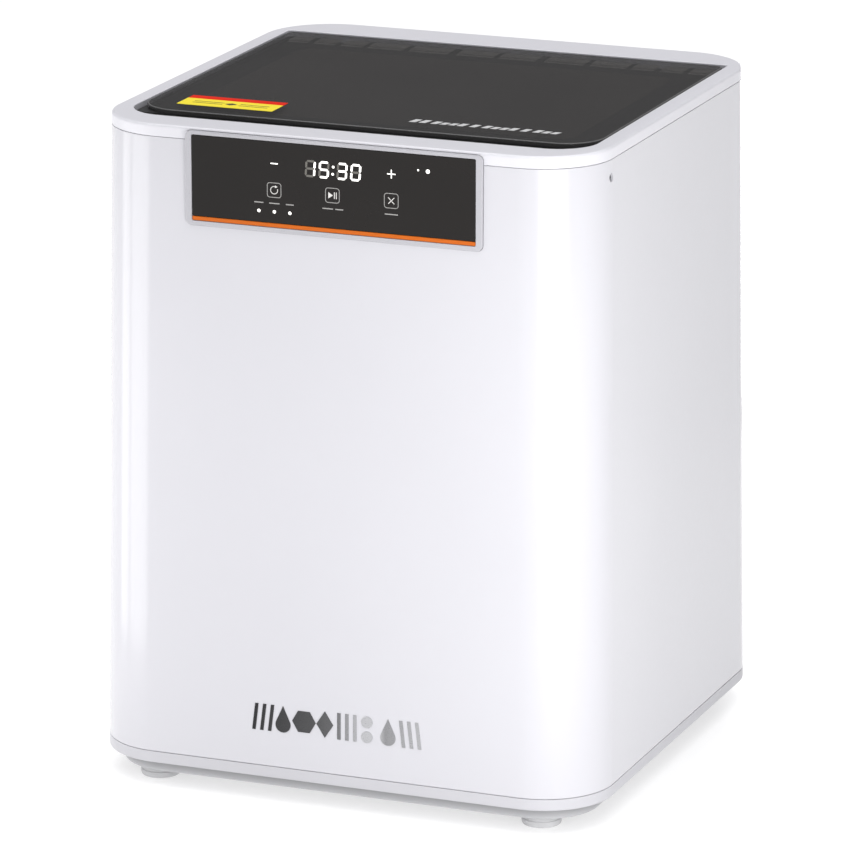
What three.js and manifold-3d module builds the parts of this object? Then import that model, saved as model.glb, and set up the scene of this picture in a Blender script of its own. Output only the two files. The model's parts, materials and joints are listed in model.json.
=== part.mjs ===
// Resin wash station: a drafted white casing with a smoked flip lid, a touch panel,
// and inside it a wash bucket, a basket, a magnetically driven impeller and curing lights.
// Millimetres. X is to the right, Y is to the back, Z is up. Z = 0 is the underside of the feet,
// and X = Y = 0 is the middle of the casing's plan.

import * as THREE from "three";
import { mergeVertices } from "three/addons/utils/BufferGeometryUtils.js";
import Module from "manifold-3d";

const wasm = await Module();
wasm.setup();

// ---------------------------------------------------------------- driving dimensions

const GAP = 0.3; // clearance between two pieces that touch on the real object

// Casing walls: half sizes at the lower seam, and how much each side leans in by the upper seam
const BASE_HALF_X = 196;
const BASE_HALF_Y = 195.5;
const WALL_LEAN = 6;
const LOWER_SEAM_Z = 27;
const UPPER_SEAM_Z = 487;
const CASING_CORNER = 53;
const CASING_WALL = 3;
const SEAM = 0.2; // half of each visible seam

// Base
const FOOT_RADIUS = 14.5;
const FOOT_ROUND = 1.5;
const FOOT_HEIGHT = 7.7;
const FOOT_X = 150;
const FOOT_Y = 165;
const PAN_BOTTOM_Z = 8;
const PAN_TOP_Z = 18.7;
const PAN_INSET = 11;
const PAN_WALL = 3;
const PAN_FLOOR_Z = PAN_BOTTOM_Z + PAN_WALL;
const FLANGE_BOTTOM_Z = 19;
const FLANGE_ROUND = 1.5;
const FLANGE_INSET = 14;

// Top rim and the well that the lid lies in
const RIM_TOP_Z = 496;
const RIM_FILLET = 3;
const WELL_HALF_X = 177;
const WELL_FRONT_Y = -161;
const WELL_BACK_Y = 151.5;
const WELL_FRONT_CORNER = 30;
const WELL_BACK_CORNER = 2.5; // small, so that the open lid stands clear of it
const LEDGE_TOP_Z = 486.5;
const LEDGE_BOTTOM_Z = 483.5;
const TUB_WALL = 3; // round the well and the hinge trough
const TROUGH_HALF_X = 176.3;
const TROUGH_FLOOR_Z = 482.5;
const TROUGH_FRONT_Y = 139;

// Chamber: the mouth in the ledge and the liner under it share one inner outline
const CHAMBER_HALF_X = 155;
const CHAMBER_FRONT_Y = -145;
const CHAMBER_BACK_Y = 118;
const CHAMBER_CORNER = 28;
const CHAMBER_FLOOR_Z = 153;
const LINER_WALL = 2.5;
const LINER_TOP_Z = LEDGE_BOTTOM_Z - GAP;

// Everything in the chamber and the drive under it is centred on this line
const AXIS_Y = (CHAMBER_FRONT_Y + CHAMBER_BACK_Y) / 2;

// Lid
const LID_TOP_Z = 495.5;
const LID_PLATE = 3;
const LID_FRAME_TOP_Z = LID_TOP_Z - LID_PLATE - GAP;
const LID_FRAME_BOTTOM_Z = 489.3;
const LID_HALF_X = 175.7;
const LID_BACK_Y = 148.5;
const LID_LIP_Y = -159.7;
const LID_PLATE_FRONT_Y = -141;
const LID_BACK_CORNER = 7;
const LID_BORDER = 26;
const LID_WINDOW_BACK_Y = 112;
const LID_WINDOW_CORNER = 14;
const LIP_RELIEF = 0.5; // the front lip lies this much lower than the plate's underside
const MAGNET_Y = -154.5;
const MAGNET_RADIUS = 4;
const SENSOR_Z = 479;
const RIB_Y = [127.3, 136.7];
const RIB_BAR_HALF_X = 172;
const RIB_BAR_Z = 487.6;
const GASKET_WIDTH = 4.5;
const GASKET_BOTTOM_Z = 487.1;
const DECAL_X = [-151.5, -76.5];
const DECAL_Y = [-120, -89];
const HINGE_Y = 143.5;
const HINGE_Z = 489.5;
const HINGE_PIN_RADIUS = 1.5;
const KNUCKLE_RADIUS = 2.5;
const HINGE_X = 125; // middle of each hinge
const KNUCKLE_HALF = 21;
const LUG_HALF = 8.6;

// Control panel
const PANEL_FRONT_Y = -191.8;
const PANEL_BACK_Y = -187.1;
const PANEL_HALF_X = 113.3;
const PANEL_BOTTOM_Z = 425;
const PANEL_TOP_Z = 494;
const PANEL_CORNER = 4;
const GLASS_HALF_X = 108.1;
const GLASS_BOTTOM_Z = 432.2;
const GLASS_TOP_Z = 491.1;
const STRIP_BOTTOM_Z = 428.9;
const GLASS_FRONT_Y = -191.5;
const GLASS_BACK_Y = -189.5;
const POCKET_FLOOR_Y = -189.1;
const DISPLAY_Z = 474;
const DISPLAY_HALF_X = 25.1;
const DISPLAY_HALF_Z = 9.5;
const TOUCH_BOARD_Y = [-182.6, -181];
const PANEL_POST_X = 100;
const PANEL_POST_Z = [438, 483];

// Rear opening and the recessed service panel behind it
const REAR_OPENING_HALF_X = 136;
const REAR_OPENING_Z = [60, 430];
const REAR_PANEL_OVERLAP = 10;
const REAR_PANEL_THICKNESS = 2;
const REAR_SCREW_X = 129;
const REAR_SCREW_Z = [70, 245, 420];
const SLOT_PITCH = 9;
const SLOT_HALF = 1.8;
const AIR_SLOT_Z = 375;
const FAN_X = 84;
const FAN_Z = 100;
const FAN_SIZE = 80;
const FAN_Y = [163, 188];
const INLET_X = -95;
const SWITCH_X = -50;
const SOCKET_Z = 75;
const INLET_HALF = [14, 10];
const SWITCH_HALF = [6.5, 9.5];
const ROCKER_PIVOT_Y = 188;
const ROCKER_TILT = 10; // degrees from level to either end

// Bucket, basket and handle
const BUCKET_HALF_X = 130;
const BUCKET_HALF_Y = 114.5;
const BUCKET_TOP_Z = 400;
const BUCKET_BOTTOM_Z = CHAMBER_FLOOR_Z + 0.4;
const BUCKET_FLOOR_Z = 157;
const BUCKET_WALL = 3;
const BUCKET_CORNER = 30;
const BUCKET_FLANGE = 4;
const BASKET_HALF_X = 117;
const BASKET_HALF_Y = 103.5;
const BASKET_TOP_Z = 340;
const BASKET_BOTTOM_Z = 180;
const BASKET_WALL = 2.5;
const BASKET_CORNER = 20;
const BASKET_FLANGE = 3;
const HANDLE_Z = 347;
const HANDLE_HALF_X = 109;
const HANDLE_REACH = 70;
const HANDLE_RADIUS = 3;
const HANDLE_BEND = 16;
const GRIP_RADIUS = 6;
const GRIP_HALF = 38;

// Drive
const SPIGOT_RADIUS = 4;
const SHAFT_RADIUS = 3;
const MOTOR_RADIUS = 32;
const MOTOR_Z = [50, 108];
const BRACKET_Z = [112.4, 117];
const ROTOR_RADIUS = 48;
const ROTOR_Z = [134, 144];
const ROTOR_MAGNET_RADIUS = 8;
const MAGNET_REACH = 32; // from the drive's axis to each rotor magnet
const BEARING_RADIUS = 8;
const IMPELLER_RADIUS = 42;
const IMPELLER_Z = [158.5, 162];

// Electronics on the pan
const MAIN_BOARD_X = [-160, -60];
const MAIN_BOARD_Y = [-100, 80];
const MAIN_BOARD_Z = [19.9, 21.5];
const BOARD_SCREW_X = [-152, -68];
const BOARD_SCREW_Y = [-92, 72];
const SUPPLY_X = [66, 160];
const SUPPLY_Y = [-90, 80];
const SUPPLY_Z = [15, 52];

// ---------------------------------------------------------------- materials

function material(color, roughness, metalness = 0) {
  return new THREE.MeshStandardMaterial({ color, roughness, metalness, flatShading: true });
}

const WHITE = material(0xf0f0f8, 0.18);
const RIM_WHITE = material(0xe4e4ea, 0.28);
const LIGHT_GREY = material(0xd8d7de, 0.35);
const SKIRT_GREY = material(0xaaaaac, 0.5);
const RUBBER = material(0xa2a2a5, 0.8);
const SMOKED = material(0x34322f, 0.08);
const LID_BLACK = material(0x1d1d1d, 0.35);
const PANEL_BLACK = material(0x33302e, 0.1);
const ORANGE = material(0xf06414, 0.4);
const SEAL = material(0x202020, 0.8);
const RIB_GREY = material(0x8f8a84, 0.5);
const DECAL = material(0xfae132, 0.5);
const BRUSHED = material(0x8c8c90, 0.3, 1);
const STEEL = material(0xb8b8bc, 0.35, 1);
const BLACK_STEEL = material(0x2a2a2c, 0.5, 0.8);
const BLACK_PLASTIC = material(0x1a1a1c, 0.45);
const BOARD_GREEN = material(0x1f5c3a, 0.5);
const BUCKET_CLEAR = material(0xdfe6ea, 0.15);
const BASKET_GREY = material(0x6f7378, 0.5);
const LINER_SILVER = material(0xc3c6ca, 0.3, 0.6);
const COVER_CLEAR = material(0xe8e4f4, 0.2);
const MAGNET = material(0x9a9a9e, 0.25, 1);
const REAR_GREY = material(0xd0d0d6, 0.5);

// ---------------------------------------------------------------- shape helpers

// A closed, indexed geometry with merged corners and its faces pointing out
function closed(geometry) {
  const bare = geometry.clone();
  bare.deleteAttribute("normal");
  bare.deleteAttribute("uv");
  const merged = mergeVertices(bare, 1e-4);
  const position = merged.attributes.position;
  const index = Array.from(merged.index.array);
  const a = new THREE.Vector3();
  const b = new THREE.Vector3();
  const c = new THREE.Vector3();
  let volume = 0;
  for (let i = 0; i < index.length; i += 3) {
    a.fromBufferAttribute(position, index[i]);
    b.fromBufferAttribute(position, index[i + 1]);
    c.fromBufferAttribute(position, index[i + 2]);
    volume += a.dot(b.cross(c));
  }
  merged.setIndex(volume < 0 ? index.reverse() : index);
  return merged;
}

function toSolid(geometry) {
  const shape = closed(geometry);
  return new wasm.Manifold(new wasm.Mesh({
    numProp: 3,
    vertProperties: new Float32Array(shape.attributes.position.array),
    triVerts: new Uint32Array(shape.index.array),
  }));
}

function fromSolid(solid) {
  const mesh = solid.getMesh();
  const geometry = new THREE.BufferGeometry();
  geometry.setAttribute("position", new THREE.BufferAttribute(mesh.vertProperties, 3));
  geometry.setIndex(new THREE.BufferAttribute(mesh.triVerts, 1));
  return geometry;
}

function join(...shapes) {
  return fromSolid(shapes.map(toSolid).reduce((whole, next) => whole.add(next)));
}

function cut(shape, ...tools) {
  return fromSolid(tools.map(toSolid).reduce((whole, tool) => whole.subtract(tool), toSolid(shape)));
}

function common(shape, other) {
  return fromSolid(toSolid(shape).intersect(toSolid(other)));
}

function box([x0, x1], [y0, y1], [z0, z1]) {
  return new THREE.BoxGeometry(x1 - x0, y1 - y0, z1 - z0)
    .translate((x0 + x1) / 2, (y0 + y1) / 2, (z0 + z1) / 2);
}

// Every pair of one value from each list
function grid(first, second) {
  return first.flatMap((a) => second.map((b) => [a, b]));
}

// A span of the given half width about a middle
function about(middle, half) {
  return [middle - half, middle + half];
}

function rodZ(x, y, [z0, z1], radius, sides = 20) {
  return new THREE.CylinderGeometry(radius, radius, z1 - z0, sides)
    .rotateX(Math.PI / 2)
    .translate(x, y, (z0 + z1) / 2);
}

function rodX([x0, x1], y, z, radius, sides = 12) {
  return new THREE.CylinderGeometry(radius, radius, x1 - x0, sides)
    .rotateZ(Math.PI / 2)
    .translate((x0 + x1) / 2, y, z);
}

function rodY(x, [y0, y1], z, radius, sides = 12) {
  return new THREE.CylinderGeometry(radius, radius, y1 - y0, sides).translate(x, (y0 + y1) / 2, z);
}

// A round piece about a vertical line, from [radius, z] points
function turned(x, y, profile, sides = 20) {
  const points = profile.map(([radius, z]) => new THREE.Vector2(radius, z));
  return new THREE.LatheGeometry(points, sides).rotateX(Math.PI / 2).translate(x, y, 0);
}

// A rectangle with round corners, front and back radii apart
function outline([x0, x1], [y0, y1], frontRadius, backRadius = frontRadius, steps = 8) {
  const corners = [
    [x1 - frontRadius, y0 + frontRadius, frontRadius, -90],
    [x1 - backRadius, y1 - backRadius, backRadius, 0],
    [x0 + backRadius, y1 - backRadius, backRadius, 90],
    [x0 + frontRadius, y0 + frontRadius, frontRadius, 180],
  ];
  const points = [];
  for (const [x, y, radius, start] of corners) {
    for (let i = 0; i <= steps; i++) {
      const angle = THREE.MathUtils.degToRad(start + (90 * i) / steps);
      points.push(new THREE.Vector2(x + radius * Math.cos(angle), y + radius * Math.sin(angle)));
    }
  }
  return points;
}

// A closed skin through outlines of equal length, each at its own height, lowest first
function loft(rings) {
  const count = rings[0].points.length;
  const positions = rings.flatMap(({ points, z }) => points.flatMap((p) => [p.x, p.y, z]));
  const indices = [];
  for (let level = 0; level < rings.length - 1; level++) {
    for (let i = 0; i < count; i++) {
      const a = level * count + i;
      const b = level * count + ((i + 1) % count);
      indices.push(a, b, b + count, a, b + count, a + count);
    }
  }
  const top = (rings.length - 1) * count;
  for (const [a, b, c] of THREE.ShapeUtils.triangulateShape(rings[0].points, [])) {
    indices.push(c, b, a);
  }
  for (const [a, b, c] of THREE.ShapeUtils.triangulateShape(rings[rings.length - 1].points, [])) {
    indices.push(top + a, top + b, top + c);
  }
  const geometry = new THREE.BufferGeometry();
  geometry.setAttribute("position", new THREE.Float32BufferAttribute(positions, 3));
  geometry.setIndex(indices);
  return geometry;
}

function prism(points, [z0, z1]) {
  return loft([{ points, z: z0 }, { points, z: z1 }]);
}

// The casing's half sizes at a height, on its leaning walls
function lean(z) {
  return (WALL_LEAN * (z - LOWER_SEAM_Z)) / (UPPER_SEAM_Z - LOWER_SEAM_Z);
}

function casingBack(z) {
  return BASE_HALF_Y - lean(z);
}

// The casing's outline at a height, set in from its outer face
function casingOutline(z, inset = 0) {
  const x = BASE_HALF_X - lean(z) - inset;
  const y = BASE_HALF_Y - lean(z) - inset;
  return outline([-x, x], [-y, y], CASING_CORNER - inset);
}

function casingLoft([z0, z1], inset) {
  return loft([
    { points: casingOutline(z0, inset), z: z0 },
    { points: casingOutline(z1, inset), z: z1 },
  ]);
}

// ---------------------------------------------------------------- assembly

const station = new THREE.Group();

function add(name, geometry, surface) {
  const mesh = new THREE.Mesh(closed(geometry), surface);
  mesh.name = name;
  station.add(mesh);
}

// ---------------------------------------------------------------- base

function foot(x, y) {
  return turned(x, y, [
    [0, 0],
    [FOOT_RADIUS - FOOT_ROUND, 0],
    [FOOT_RADIUS, FOOT_ROUND],
    [FOOT_RADIUS - 0.8, FOOT_HEIGHT],
    [0, FOOT_HEIGHT],
  ]);
}

function basePan() {
  const x = BASE_HALF_X - PAN_INSET;
  const y = BASE_HALF_Y - PAN_INSET;
  const corner = CASING_CORNER - PAN_INSET;
  const outer = prism(outline([-x, x], [-y, y], corner), [PAN_BOTTOM_Z, PAN_TOP_Z]);
  const inner = prism(
    outline([PAN_WALL - x, x - PAN_WALL], [PAN_WALL - y, y - PAN_WALL], corner - PAN_WALL),
    [PAN_FLOOR_Z, PAN_TOP_Z + 1],
  );
  const bosses = grid(BOARD_SCREW_X, BOARD_SCREW_Y)
    .map(([bx, by]) => rodZ(bx, by, [PAN_FLOOR_Z - 1, MAIN_BOARD_Z[0] - GAP], 3.5, 12));
  return join(cut(outer, inner), ...bosses);
}

function baseFlange() {
  const ring = (inset) => casingOutline(LOWER_SEAM_Z, inset);
  const top = LOWER_SEAM_Z - SEAM;
  const outer = loft([
    { points: ring(FLANGE_ROUND), z: FLANGE_BOTTOM_Z },
    { points: ring(0), z: FLANGE_BOTTOM_Z + FLANGE_ROUND },
    { points: ring(0), z: top },
  ]);
  return cut(outer, prism(ring(FLANGE_INSET), [FLANGE_BOTTOM_Z - 1, top + 1]));
}

for (const [side, sx] of [["left", -1], ["right", 1]]) {
  for (const [end, sy] of [["front", -1], ["rear", 1]]) {
    add(`foot_${end}_${side}`, foot(sx * FOOT_X, sy * FOOT_Y), RUBBER);
  }
}
add("base_pan", basePan(), SKIRT_GREY);
add("base_flange", baseFlange(), LIGHT_GREY);

// ---------------------------------------------------------------- casing

const SIDE_HOLE = { y: -139.7, z: 474.1, radius: 3.25 };

function bodyShell() {
  const walls = cut(
    casingLoft([LOWER_SEAM_Z + SEAM, UPPER_SEAM_Z - SEAM], 0),
    casingLoft([LOWER_SEAM_Z - 1, UPPER_SEAM_Z + 1], CASING_WALL),
  );
  const rearOpening = box(about(0, REAR_OPENING_HALF_X), [150, 220], REAR_OPENING_Z);
  const panelOpening = box(about(0, PANEL_HALF_X + GAP), [-220, -150], [PANEL_BOTTOM_Z - GAP, 500]);
  const sideHole = rodX([170, 210], SIDE_HOLE.y, SIDE_HOLE.z, SIDE_HOLE.radius);
  return cut(walls, rearOpening, panelOpening, sideHole);
}

function rearPanelFace(z) {
  return casingBack(z) - CASING_WALL - GAP;
}

function rearPanel() {
  const [z0, z1] = [REAR_OPENING_Z[0] - REAR_PANEL_OVERLAP, REAR_OPENING_Z[1] + REAR_PANEL_OVERLAP];
  const skin = CASING_WALL + GAP;
  const sheet = cut(casingLoft([z0, z1], skin), casingLoft([z0 - 1, z1 + 1], skin + REAR_PANEL_THICKNESS));
  const halfX = REAR_OPENING_HALF_X + REAR_PANEL_OVERLAP;
  const plate = common(sheet, box(about(0, halfX), [150, 220], [z0 - 5, z1 + 5]));
  const through = [170, 200];
  const slot = (x, half, z) => box(about(x, half), through, about(z, SLOT_HALF));
  const hole = (x, [halfWide, halfHigh]) => box(
    about(x, halfWide + GAP),
    through,
    about(SOCKET_Z, halfHigh + GAP),
  );
  const fanSlots = [-3, -2, -1, 0, 1, 2, 3].map((k) => slot(FAN_X, 33, FAN_Z + SLOT_PITCH * k));
  const airSlots = [0, 1, 2, 3].map((k) => slot(0, 70, AIR_SLOT_Z + SLOT_PITCH * k));
  const screwHoles = grid([-REAR_SCREW_X, REAR_SCREW_X], REAR_SCREW_Z)
    .map(([x, z]) => rodY(x, through, z, 1.9));
  const sockets = [hole(INLET_X, INLET_HALF), hole(SWITCH_X, SWITCH_HALF)];
  return cut(plate, ...fanSlots, ...airSlots, ...screwHoles, ...sockets);
}

function rearScrew(x, z) {
  const face = rearPanelFace(z) + 0.35;
  const head = rodY(x, [face, face + 1.7], z, 3.2);
  const shank = rodY(x, [face - 9, face + 0.5], z, 1.5, 8);
  return join(head, shank);
}

add("body_shell", bodyShell(), WHITE);
add("rear_panel", rearPanel(), REAR_GREY);
REAR_SCREW_Z.forEach((z, row) => {
  add(`rear_screw_left_${row + 1}`, rearScrew(-REAR_SCREW_X, z), STEEL);
  add(`rear_screw_right_${row + 1}`, rearScrew(REAR_SCREW_X, z), STEEL);
});
const sideScrew = rodX([182, 188.6], SIDE_HOLE.y, SIDE_HOLE.z, SIDE_HOLE.radius - 0.4);
add("side_screw", sideScrew, BLACK_STEEL);

// A thin plate on the leaning front wall, which carries the maker's mark
function frontMark() {
  const [z0, z1] = [54, 74];
  const ring = (z) => {
    const wall = -casingBack(z);
    return { points: outline([-64, 67], [wall - 0.35, wall - 0.2], 0.05, 0.05, 1), z };
  };
  return loft([ring(z0), ring(z1)]);
}
add("front_mark", frontMark(), BRUSHED);

// ---------------------------------------------------------------- top rim

function wellOutline(grow) {
  return outline(
    about(0, WELL_HALF_X + grow),
    [WELL_FRONT_Y - grow, WELL_BACK_Y + grow],
    WELL_FRONT_CORNER + grow,
    WELL_BACK_CORNER + grow,
    6,
  );
}

function chamberOutline(grow) {
  return outline(
    about(0, CHAMBER_HALF_X + grow),
    [CHAMBER_FRONT_Y - grow, CHAMBER_BACK_Y + grow],
    CHAMBER_CORNER + grow,
    CHAMBER_CORNER + grow,
    5,
  );
}

function hingeLug(side) {
  const x = about(side * HINGE_X, LUG_HALF);
  const post = box(x, [HINGE_Y - KNUCKLE_RADIUS, HINGE_Y + 1.3], [TROUGH_FLOOR_Z - 1, HINGE_Z]);
  return join(post, rodX(x, HINGE_Y, HINGE_Z, KNUCKLE_RADIUS));
}

function hingePinBores() {
  return [-1, 1].map((side) => rodX(about(side * HINGE_X, 30), HINGE_Y, HINGE_Z, HINGE_PIN_RADIUS + GAP));
}

function topRim() {
  const bottom = UPPER_SEAM_Z + SEAM;
  const ring = (inset) => casingOutline(UPPER_SEAM_Z, inset);
  const cap = loft([
    { points: ring(0), z: bottom },
    { points: ring(0), z: RIM_TOP_Z - RIM_FILLET },
    { points: ring(RIM_FILLET * 0.3), z: RIM_TOP_Z - RIM_FILLET * 0.3 }, // about half way round the fillet
    { points: ring(RIM_FILLET), z: RIM_TOP_Z },
  ]);
  const underside = prism(ring(CASING_WALL), [bottom - 1, RIM_TOP_Z - 3]);
  const tub = prism(wellOutline(TUB_WALL), [LEDGE_BOTTOM_Z, RIM_TOP_Z - 1]);
  const trough = (grow, top) => box(
    about(0, TROUGH_HALF_X + grow),
    [TROUGH_FRONT_Y - grow, WELL_BACK_Y + grow],
    [TROUGH_FLOOR_Z - grow, top],
  );
  const well = prism(wellOutline(0), [LEDGE_TOP_Z, RIM_TOP_Z + 1]);
  const mouth = prism(chamberOutline(0), [LEDGE_BOTTOM_Z - 1, LEDGE_TOP_Z + 1]);
  const notch = box(about(0, PANEL_HALF_X + GAP), [-220, PANEL_BACK_Y + GAP], [480, PANEL_TOP_Z + GAP]);
  const whole = join(cut(cap, underside), tub, trough(TUB_WALL, LEDGE_TOP_Z));
  const frame = cut(whole, well, trough(0, LEDGE_TOP_Z + 1), mouth, notch);
  return cut(join(frame, hingeLug(-1), hingeLug(1)), ...hingePinBores());
}

add("top_rim", topRim(), RIM_WHITE);
add("lid_sensor", box(about(0, 12), [-161, -153], [SENSOR_Z, LEDGE_BOTTOM_Z - GAP]), BLACK_PLASTIC);

// ---------------------------------------------------------------- lid

const RIB_HALF_WIDTHS = [
  [17, 15], [54.5, 16], [89.5, 14.5], [117, 9], [139.5, 9], [161.5, 8.5],
];

function lidWindow() {
  const plate = (inset) => outline(
    about(0, LID_HALF_X - inset),
    [LID_PLATE_FRONT_Y + inset, LID_BACK_Y - inset],
    WELL_FRONT_CORNER - inset,
    LID_BACK_CORNER - inset,
    6,
  );
  return loft([
    { points: plate(0), z: LID_TOP_Z - LID_PLATE },
    { points: plate(0), z: LID_TOP_Z - 1 },
    { points: plate(1), z: LID_TOP_Z },
  ]);
}

function ribSpans() {
  return RIB_HALF_WIDTHS.flatMap(([middle, half]) => [about(-middle, half), about(middle, half)]);
}

function lidKnuckles(side) {
  const play = 0.5; // between a knuckle and the lug beside it
  const offset = (KNUCKLE_HALF + LUG_HALF + play) / 2;
  const half = (KNUCKLE_HALF - LUG_HALF - play) / 2;
  return [-offset, offset]
    .map((dx) => rodX(about(side * HINGE_X + dx, half), HINGE_Y, HINGE_Z, KNUCKLE_RADIUS));
}

function lidFrame() {
  const outer = prism(
    outline(about(0, LID_HALF_X), [LID_LIP_Y, LID_BACK_Y], WELL_FRONT_CORNER - 1.3, LID_BACK_CORNER, 6),
    [LID_FRAME_BOTTOM_Z, LID_FRAME_TOP_Z],
  );
  const through = [LID_FRAME_BOTTOM_Z - 1, LID_FRAME_TOP_Z + 1];
  const lipRelief = box(about(0, 200), [-200, LID_PLATE_FRONT_Y], [LID_FRAME_TOP_Z - LIP_RELIEF, through[1]]);
  const window = prism(
    outline(
      about(0, LID_HALF_X - LID_BORDER),
      [LID_PLATE_FRONT_Y + LID_BORDER, LID_WINDOW_BACK_Y],
      LID_WINDOW_CORNER,
      LID_WINDOW_CORNER,
      3,
    ),
    through,
  );
  const ribSlots = ribSpans().map(([x0, x1]) => box(
    [x0 - GAP, x1 + GAP],
    [RIB_Y[0] - GAP, RIB_Y[1] + GAP],
    through,
  ));
  const lugNotches = [-1, 1].map((side) => box(
    about(side * HINGE_X, LUG_HALF + 0.5),
    [HINGE_Y - 5.5, LID_BACK_Y + 1],
    through,
  ));
  const magnetPocket = rodZ(0, MAGNET_Y, [through[0], LID_FRAME_BOTTOM_Z + 1.5 + GAP], MAGNET_RADIUS + GAP);
  const ring = cut(outer, lipRelief, window, ...ribSlots, ...lugNotches, magnetPocket);
  return cut(join(ring, ...lidKnuckles(-1), ...lidKnuckles(1)), ...hingePinBores());
}

function lidRearRibs() {
  const bar = box(about(0, RIB_BAR_HALF_X), RIB_Y, [RIB_BAR_Z, LID_FRAME_BOTTOM_Z - GAP]);
  const ribs = ribSpans().map((x) => box(x, RIB_Y, [RIB_BAR_Z + 0.4, LID_FRAME_TOP_Z - GAP]));
  return join(bar, ...ribs);
}

function lidGasket() {
  const ring = (grow) => outline(about(0, 161 + grow), [-151 - grow, 120 + grow], 26 + grow, 26 + grow, 5);
  const height = [GASKET_BOTTOM_Z, LID_FRAME_BOTTOM_Z - GAP];
  return cut(prism(ring(GASKET_WIDTH), height), prism(ring(0), [height[0] - 1, height[1] + 1]));
}

add("lid_window", lidWindow(), SMOKED);
add("lid_frame", lidFrame(), LID_BLACK);
add("lid_rear_ribs", lidRearRibs(), RIB_GREY);
add("lid_gasket", lidGasket(), SEAL);
const lidMagnet = rodZ(0, MAGNET_Y, [LID_FRAME_BOTTOM_Z, LID_FRAME_BOTTOM_Z + 1.5], MAGNET_RADIUS);
add("lid_magnet", lidMagnet, MAGNET);
add("lid_decal", box(DECAL_X, DECAL_Y, [LID_TOP_Z + 0.1, LID_TOP_Z + 0.3]), DECAL);
for (const [side, sx] of [["left", -1], ["right", 1]]) {
  const pin = rodX(about(sx * HINGE_X, KNUCKLE_HALF - 1), HINGE_Y, HINGE_Z, HINGE_PIN_RADIUS);
  add(`hinge_pin_${side}`, pin, STEEL);
}

// ---------------------------------------------------------------- control panel

// An upright plate with round corners in the X-Z plane
function uprightPlate([x0, x1], [y0, y1], [z0, z1], corner) {
  return prism(outline([x0, x1], [z0, z1], corner, corner, 4), [-y1, -y0]).rotateX(Math.PI / 2);
}

function controlBezel() {
  const block = uprightPlate(
    about(0, PANEL_HALF_X),
    [PANEL_FRONT_Y, PANEL_BACK_Y],
    [PANEL_BOTTOM_Z, PANEL_TOP_Z],
    PANEL_CORNER,
  );
  const pocket = box(
    about(0, GLASS_HALF_X + GAP),
    [PANEL_FRONT_Y - 1, POCKET_FLOOR_Y],
    [STRIP_BOTTOM_Z - GAP, GLASS_TOP_Z + GAP],
  );
  const displayHole = box(about(0, 30), [PANEL_FRONT_Y, PANEL_BACK_Y + 1], about(DISPLAY_Z, 11));
  const posts = grid([-PANEL_POST_X, PANEL_POST_X], PANEL_POST_Z)
    .map(([x, z]) => rodY(x, [PANEL_BACK_Y - 1, TOUCH_BOARD_Y[0] - GAP], z, 2.5, 12));
  return join(cut(block, pocket, displayHole), ...posts);
}

add("control_bezel", controlBezel(), LIGHT_GREY);
const glass = box(about(0, GLASS_HALF_X), [GLASS_FRONT_Y, GLASS_BACK_Y], [GLASS_BOTTOM_Z, GLASS_TOP_Z]);
const strip = box(
  about(0, GLASS_HALF_X),
  [GLASS_FRONT_Y - 0.1, GLASS_BACK_Y],
  [STRIP_BOTTOM_Z, GLASS_BOTTOM_Z - GAP],
);
const display = box(about(0, DISPLAY_HALF_X), [-188.9, -183], about(DISPLAY_Z, DISPLAY_HALF_Z));
add("control_glass", glass, PANEL_BLACK);
add("accent_strip", strip, ORANGE);
add("display_module", display, BLACK_PLASTIC);

function touchBoard() {
  const board = box(about(0, 104), TOUCH_BOARD_Y, [433, 488.5]);
  const chipY = [TOUCH_BOARD_Y[1] - 0.5, TOUCH_BOARD_Y[1] + 2.5];
  const chips = [[-60, 8], [-20, 5], [35, 7], [75, 4]]
    .map(([x, half]) => box(about(x, half), chipY, about(455, half)));
  return join(board, ...chips);
}
add("touch_board", touchBoard(), BOARD_GREEN);

// ---------------------------------------------------------------- chamber

function chamberLiner() {
  const outer = prism(chamberOutline(LINER_WALL), [CHAMBER_FLOOR_Z - 3, LINER_TOP_Z]);
  const flange = prism(chamberOutline(LINER_WALL + 5), [LINER_TOP_Z - 3, LINER_TOP_Z]);
  return cut(join(outer, flange), prism(chamberOutline(0), [CHAMBER_FLOOR_Z, LINER_TOP_Z + 1]));
}

const LAMP_X = 55;

function lampBoard(side) {
  const x = side * LAMP_X;
  const board = box(about(x, 12), [115.9, 117.5], [212, 468]);
  const lamps = [0, 1, 2, 3, 4, 5, 6, 7]
    .map((k) => box(about(x, 2.6), [113.6, 116.5], about(228 + 32 * k, 2.6)));
  return join(board, ...lamps);
}

function lampCover(side) {
  const x = side * LAMP_X;
  const outer = box(about(x, 16), [108, 117.6], [205, 475]);
  return cut(outer, box(about(x, 13.5), [110.5, 119], [208, 472]));
}

add("chamber_liner", chamberLiner(), LINER_SILVER);
for (const [side, sx] of [["left", -1], ["right", 1]]) {
  add(`curing_lamp_board_${side}`, lampBoard(sx), BOARD_GREEN);
  add(`curing_lamp_cover_${side}`, lampCover(sx), COVER_CLEAR);
}

// ---------------------------------------------------------------- bucket, basket and handle

function centredOutline(halfX, halfY, corner) {
  return outline(about(0, halfX), about(AXIS_Y, halfY), corner, corner, 4);
}

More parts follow.
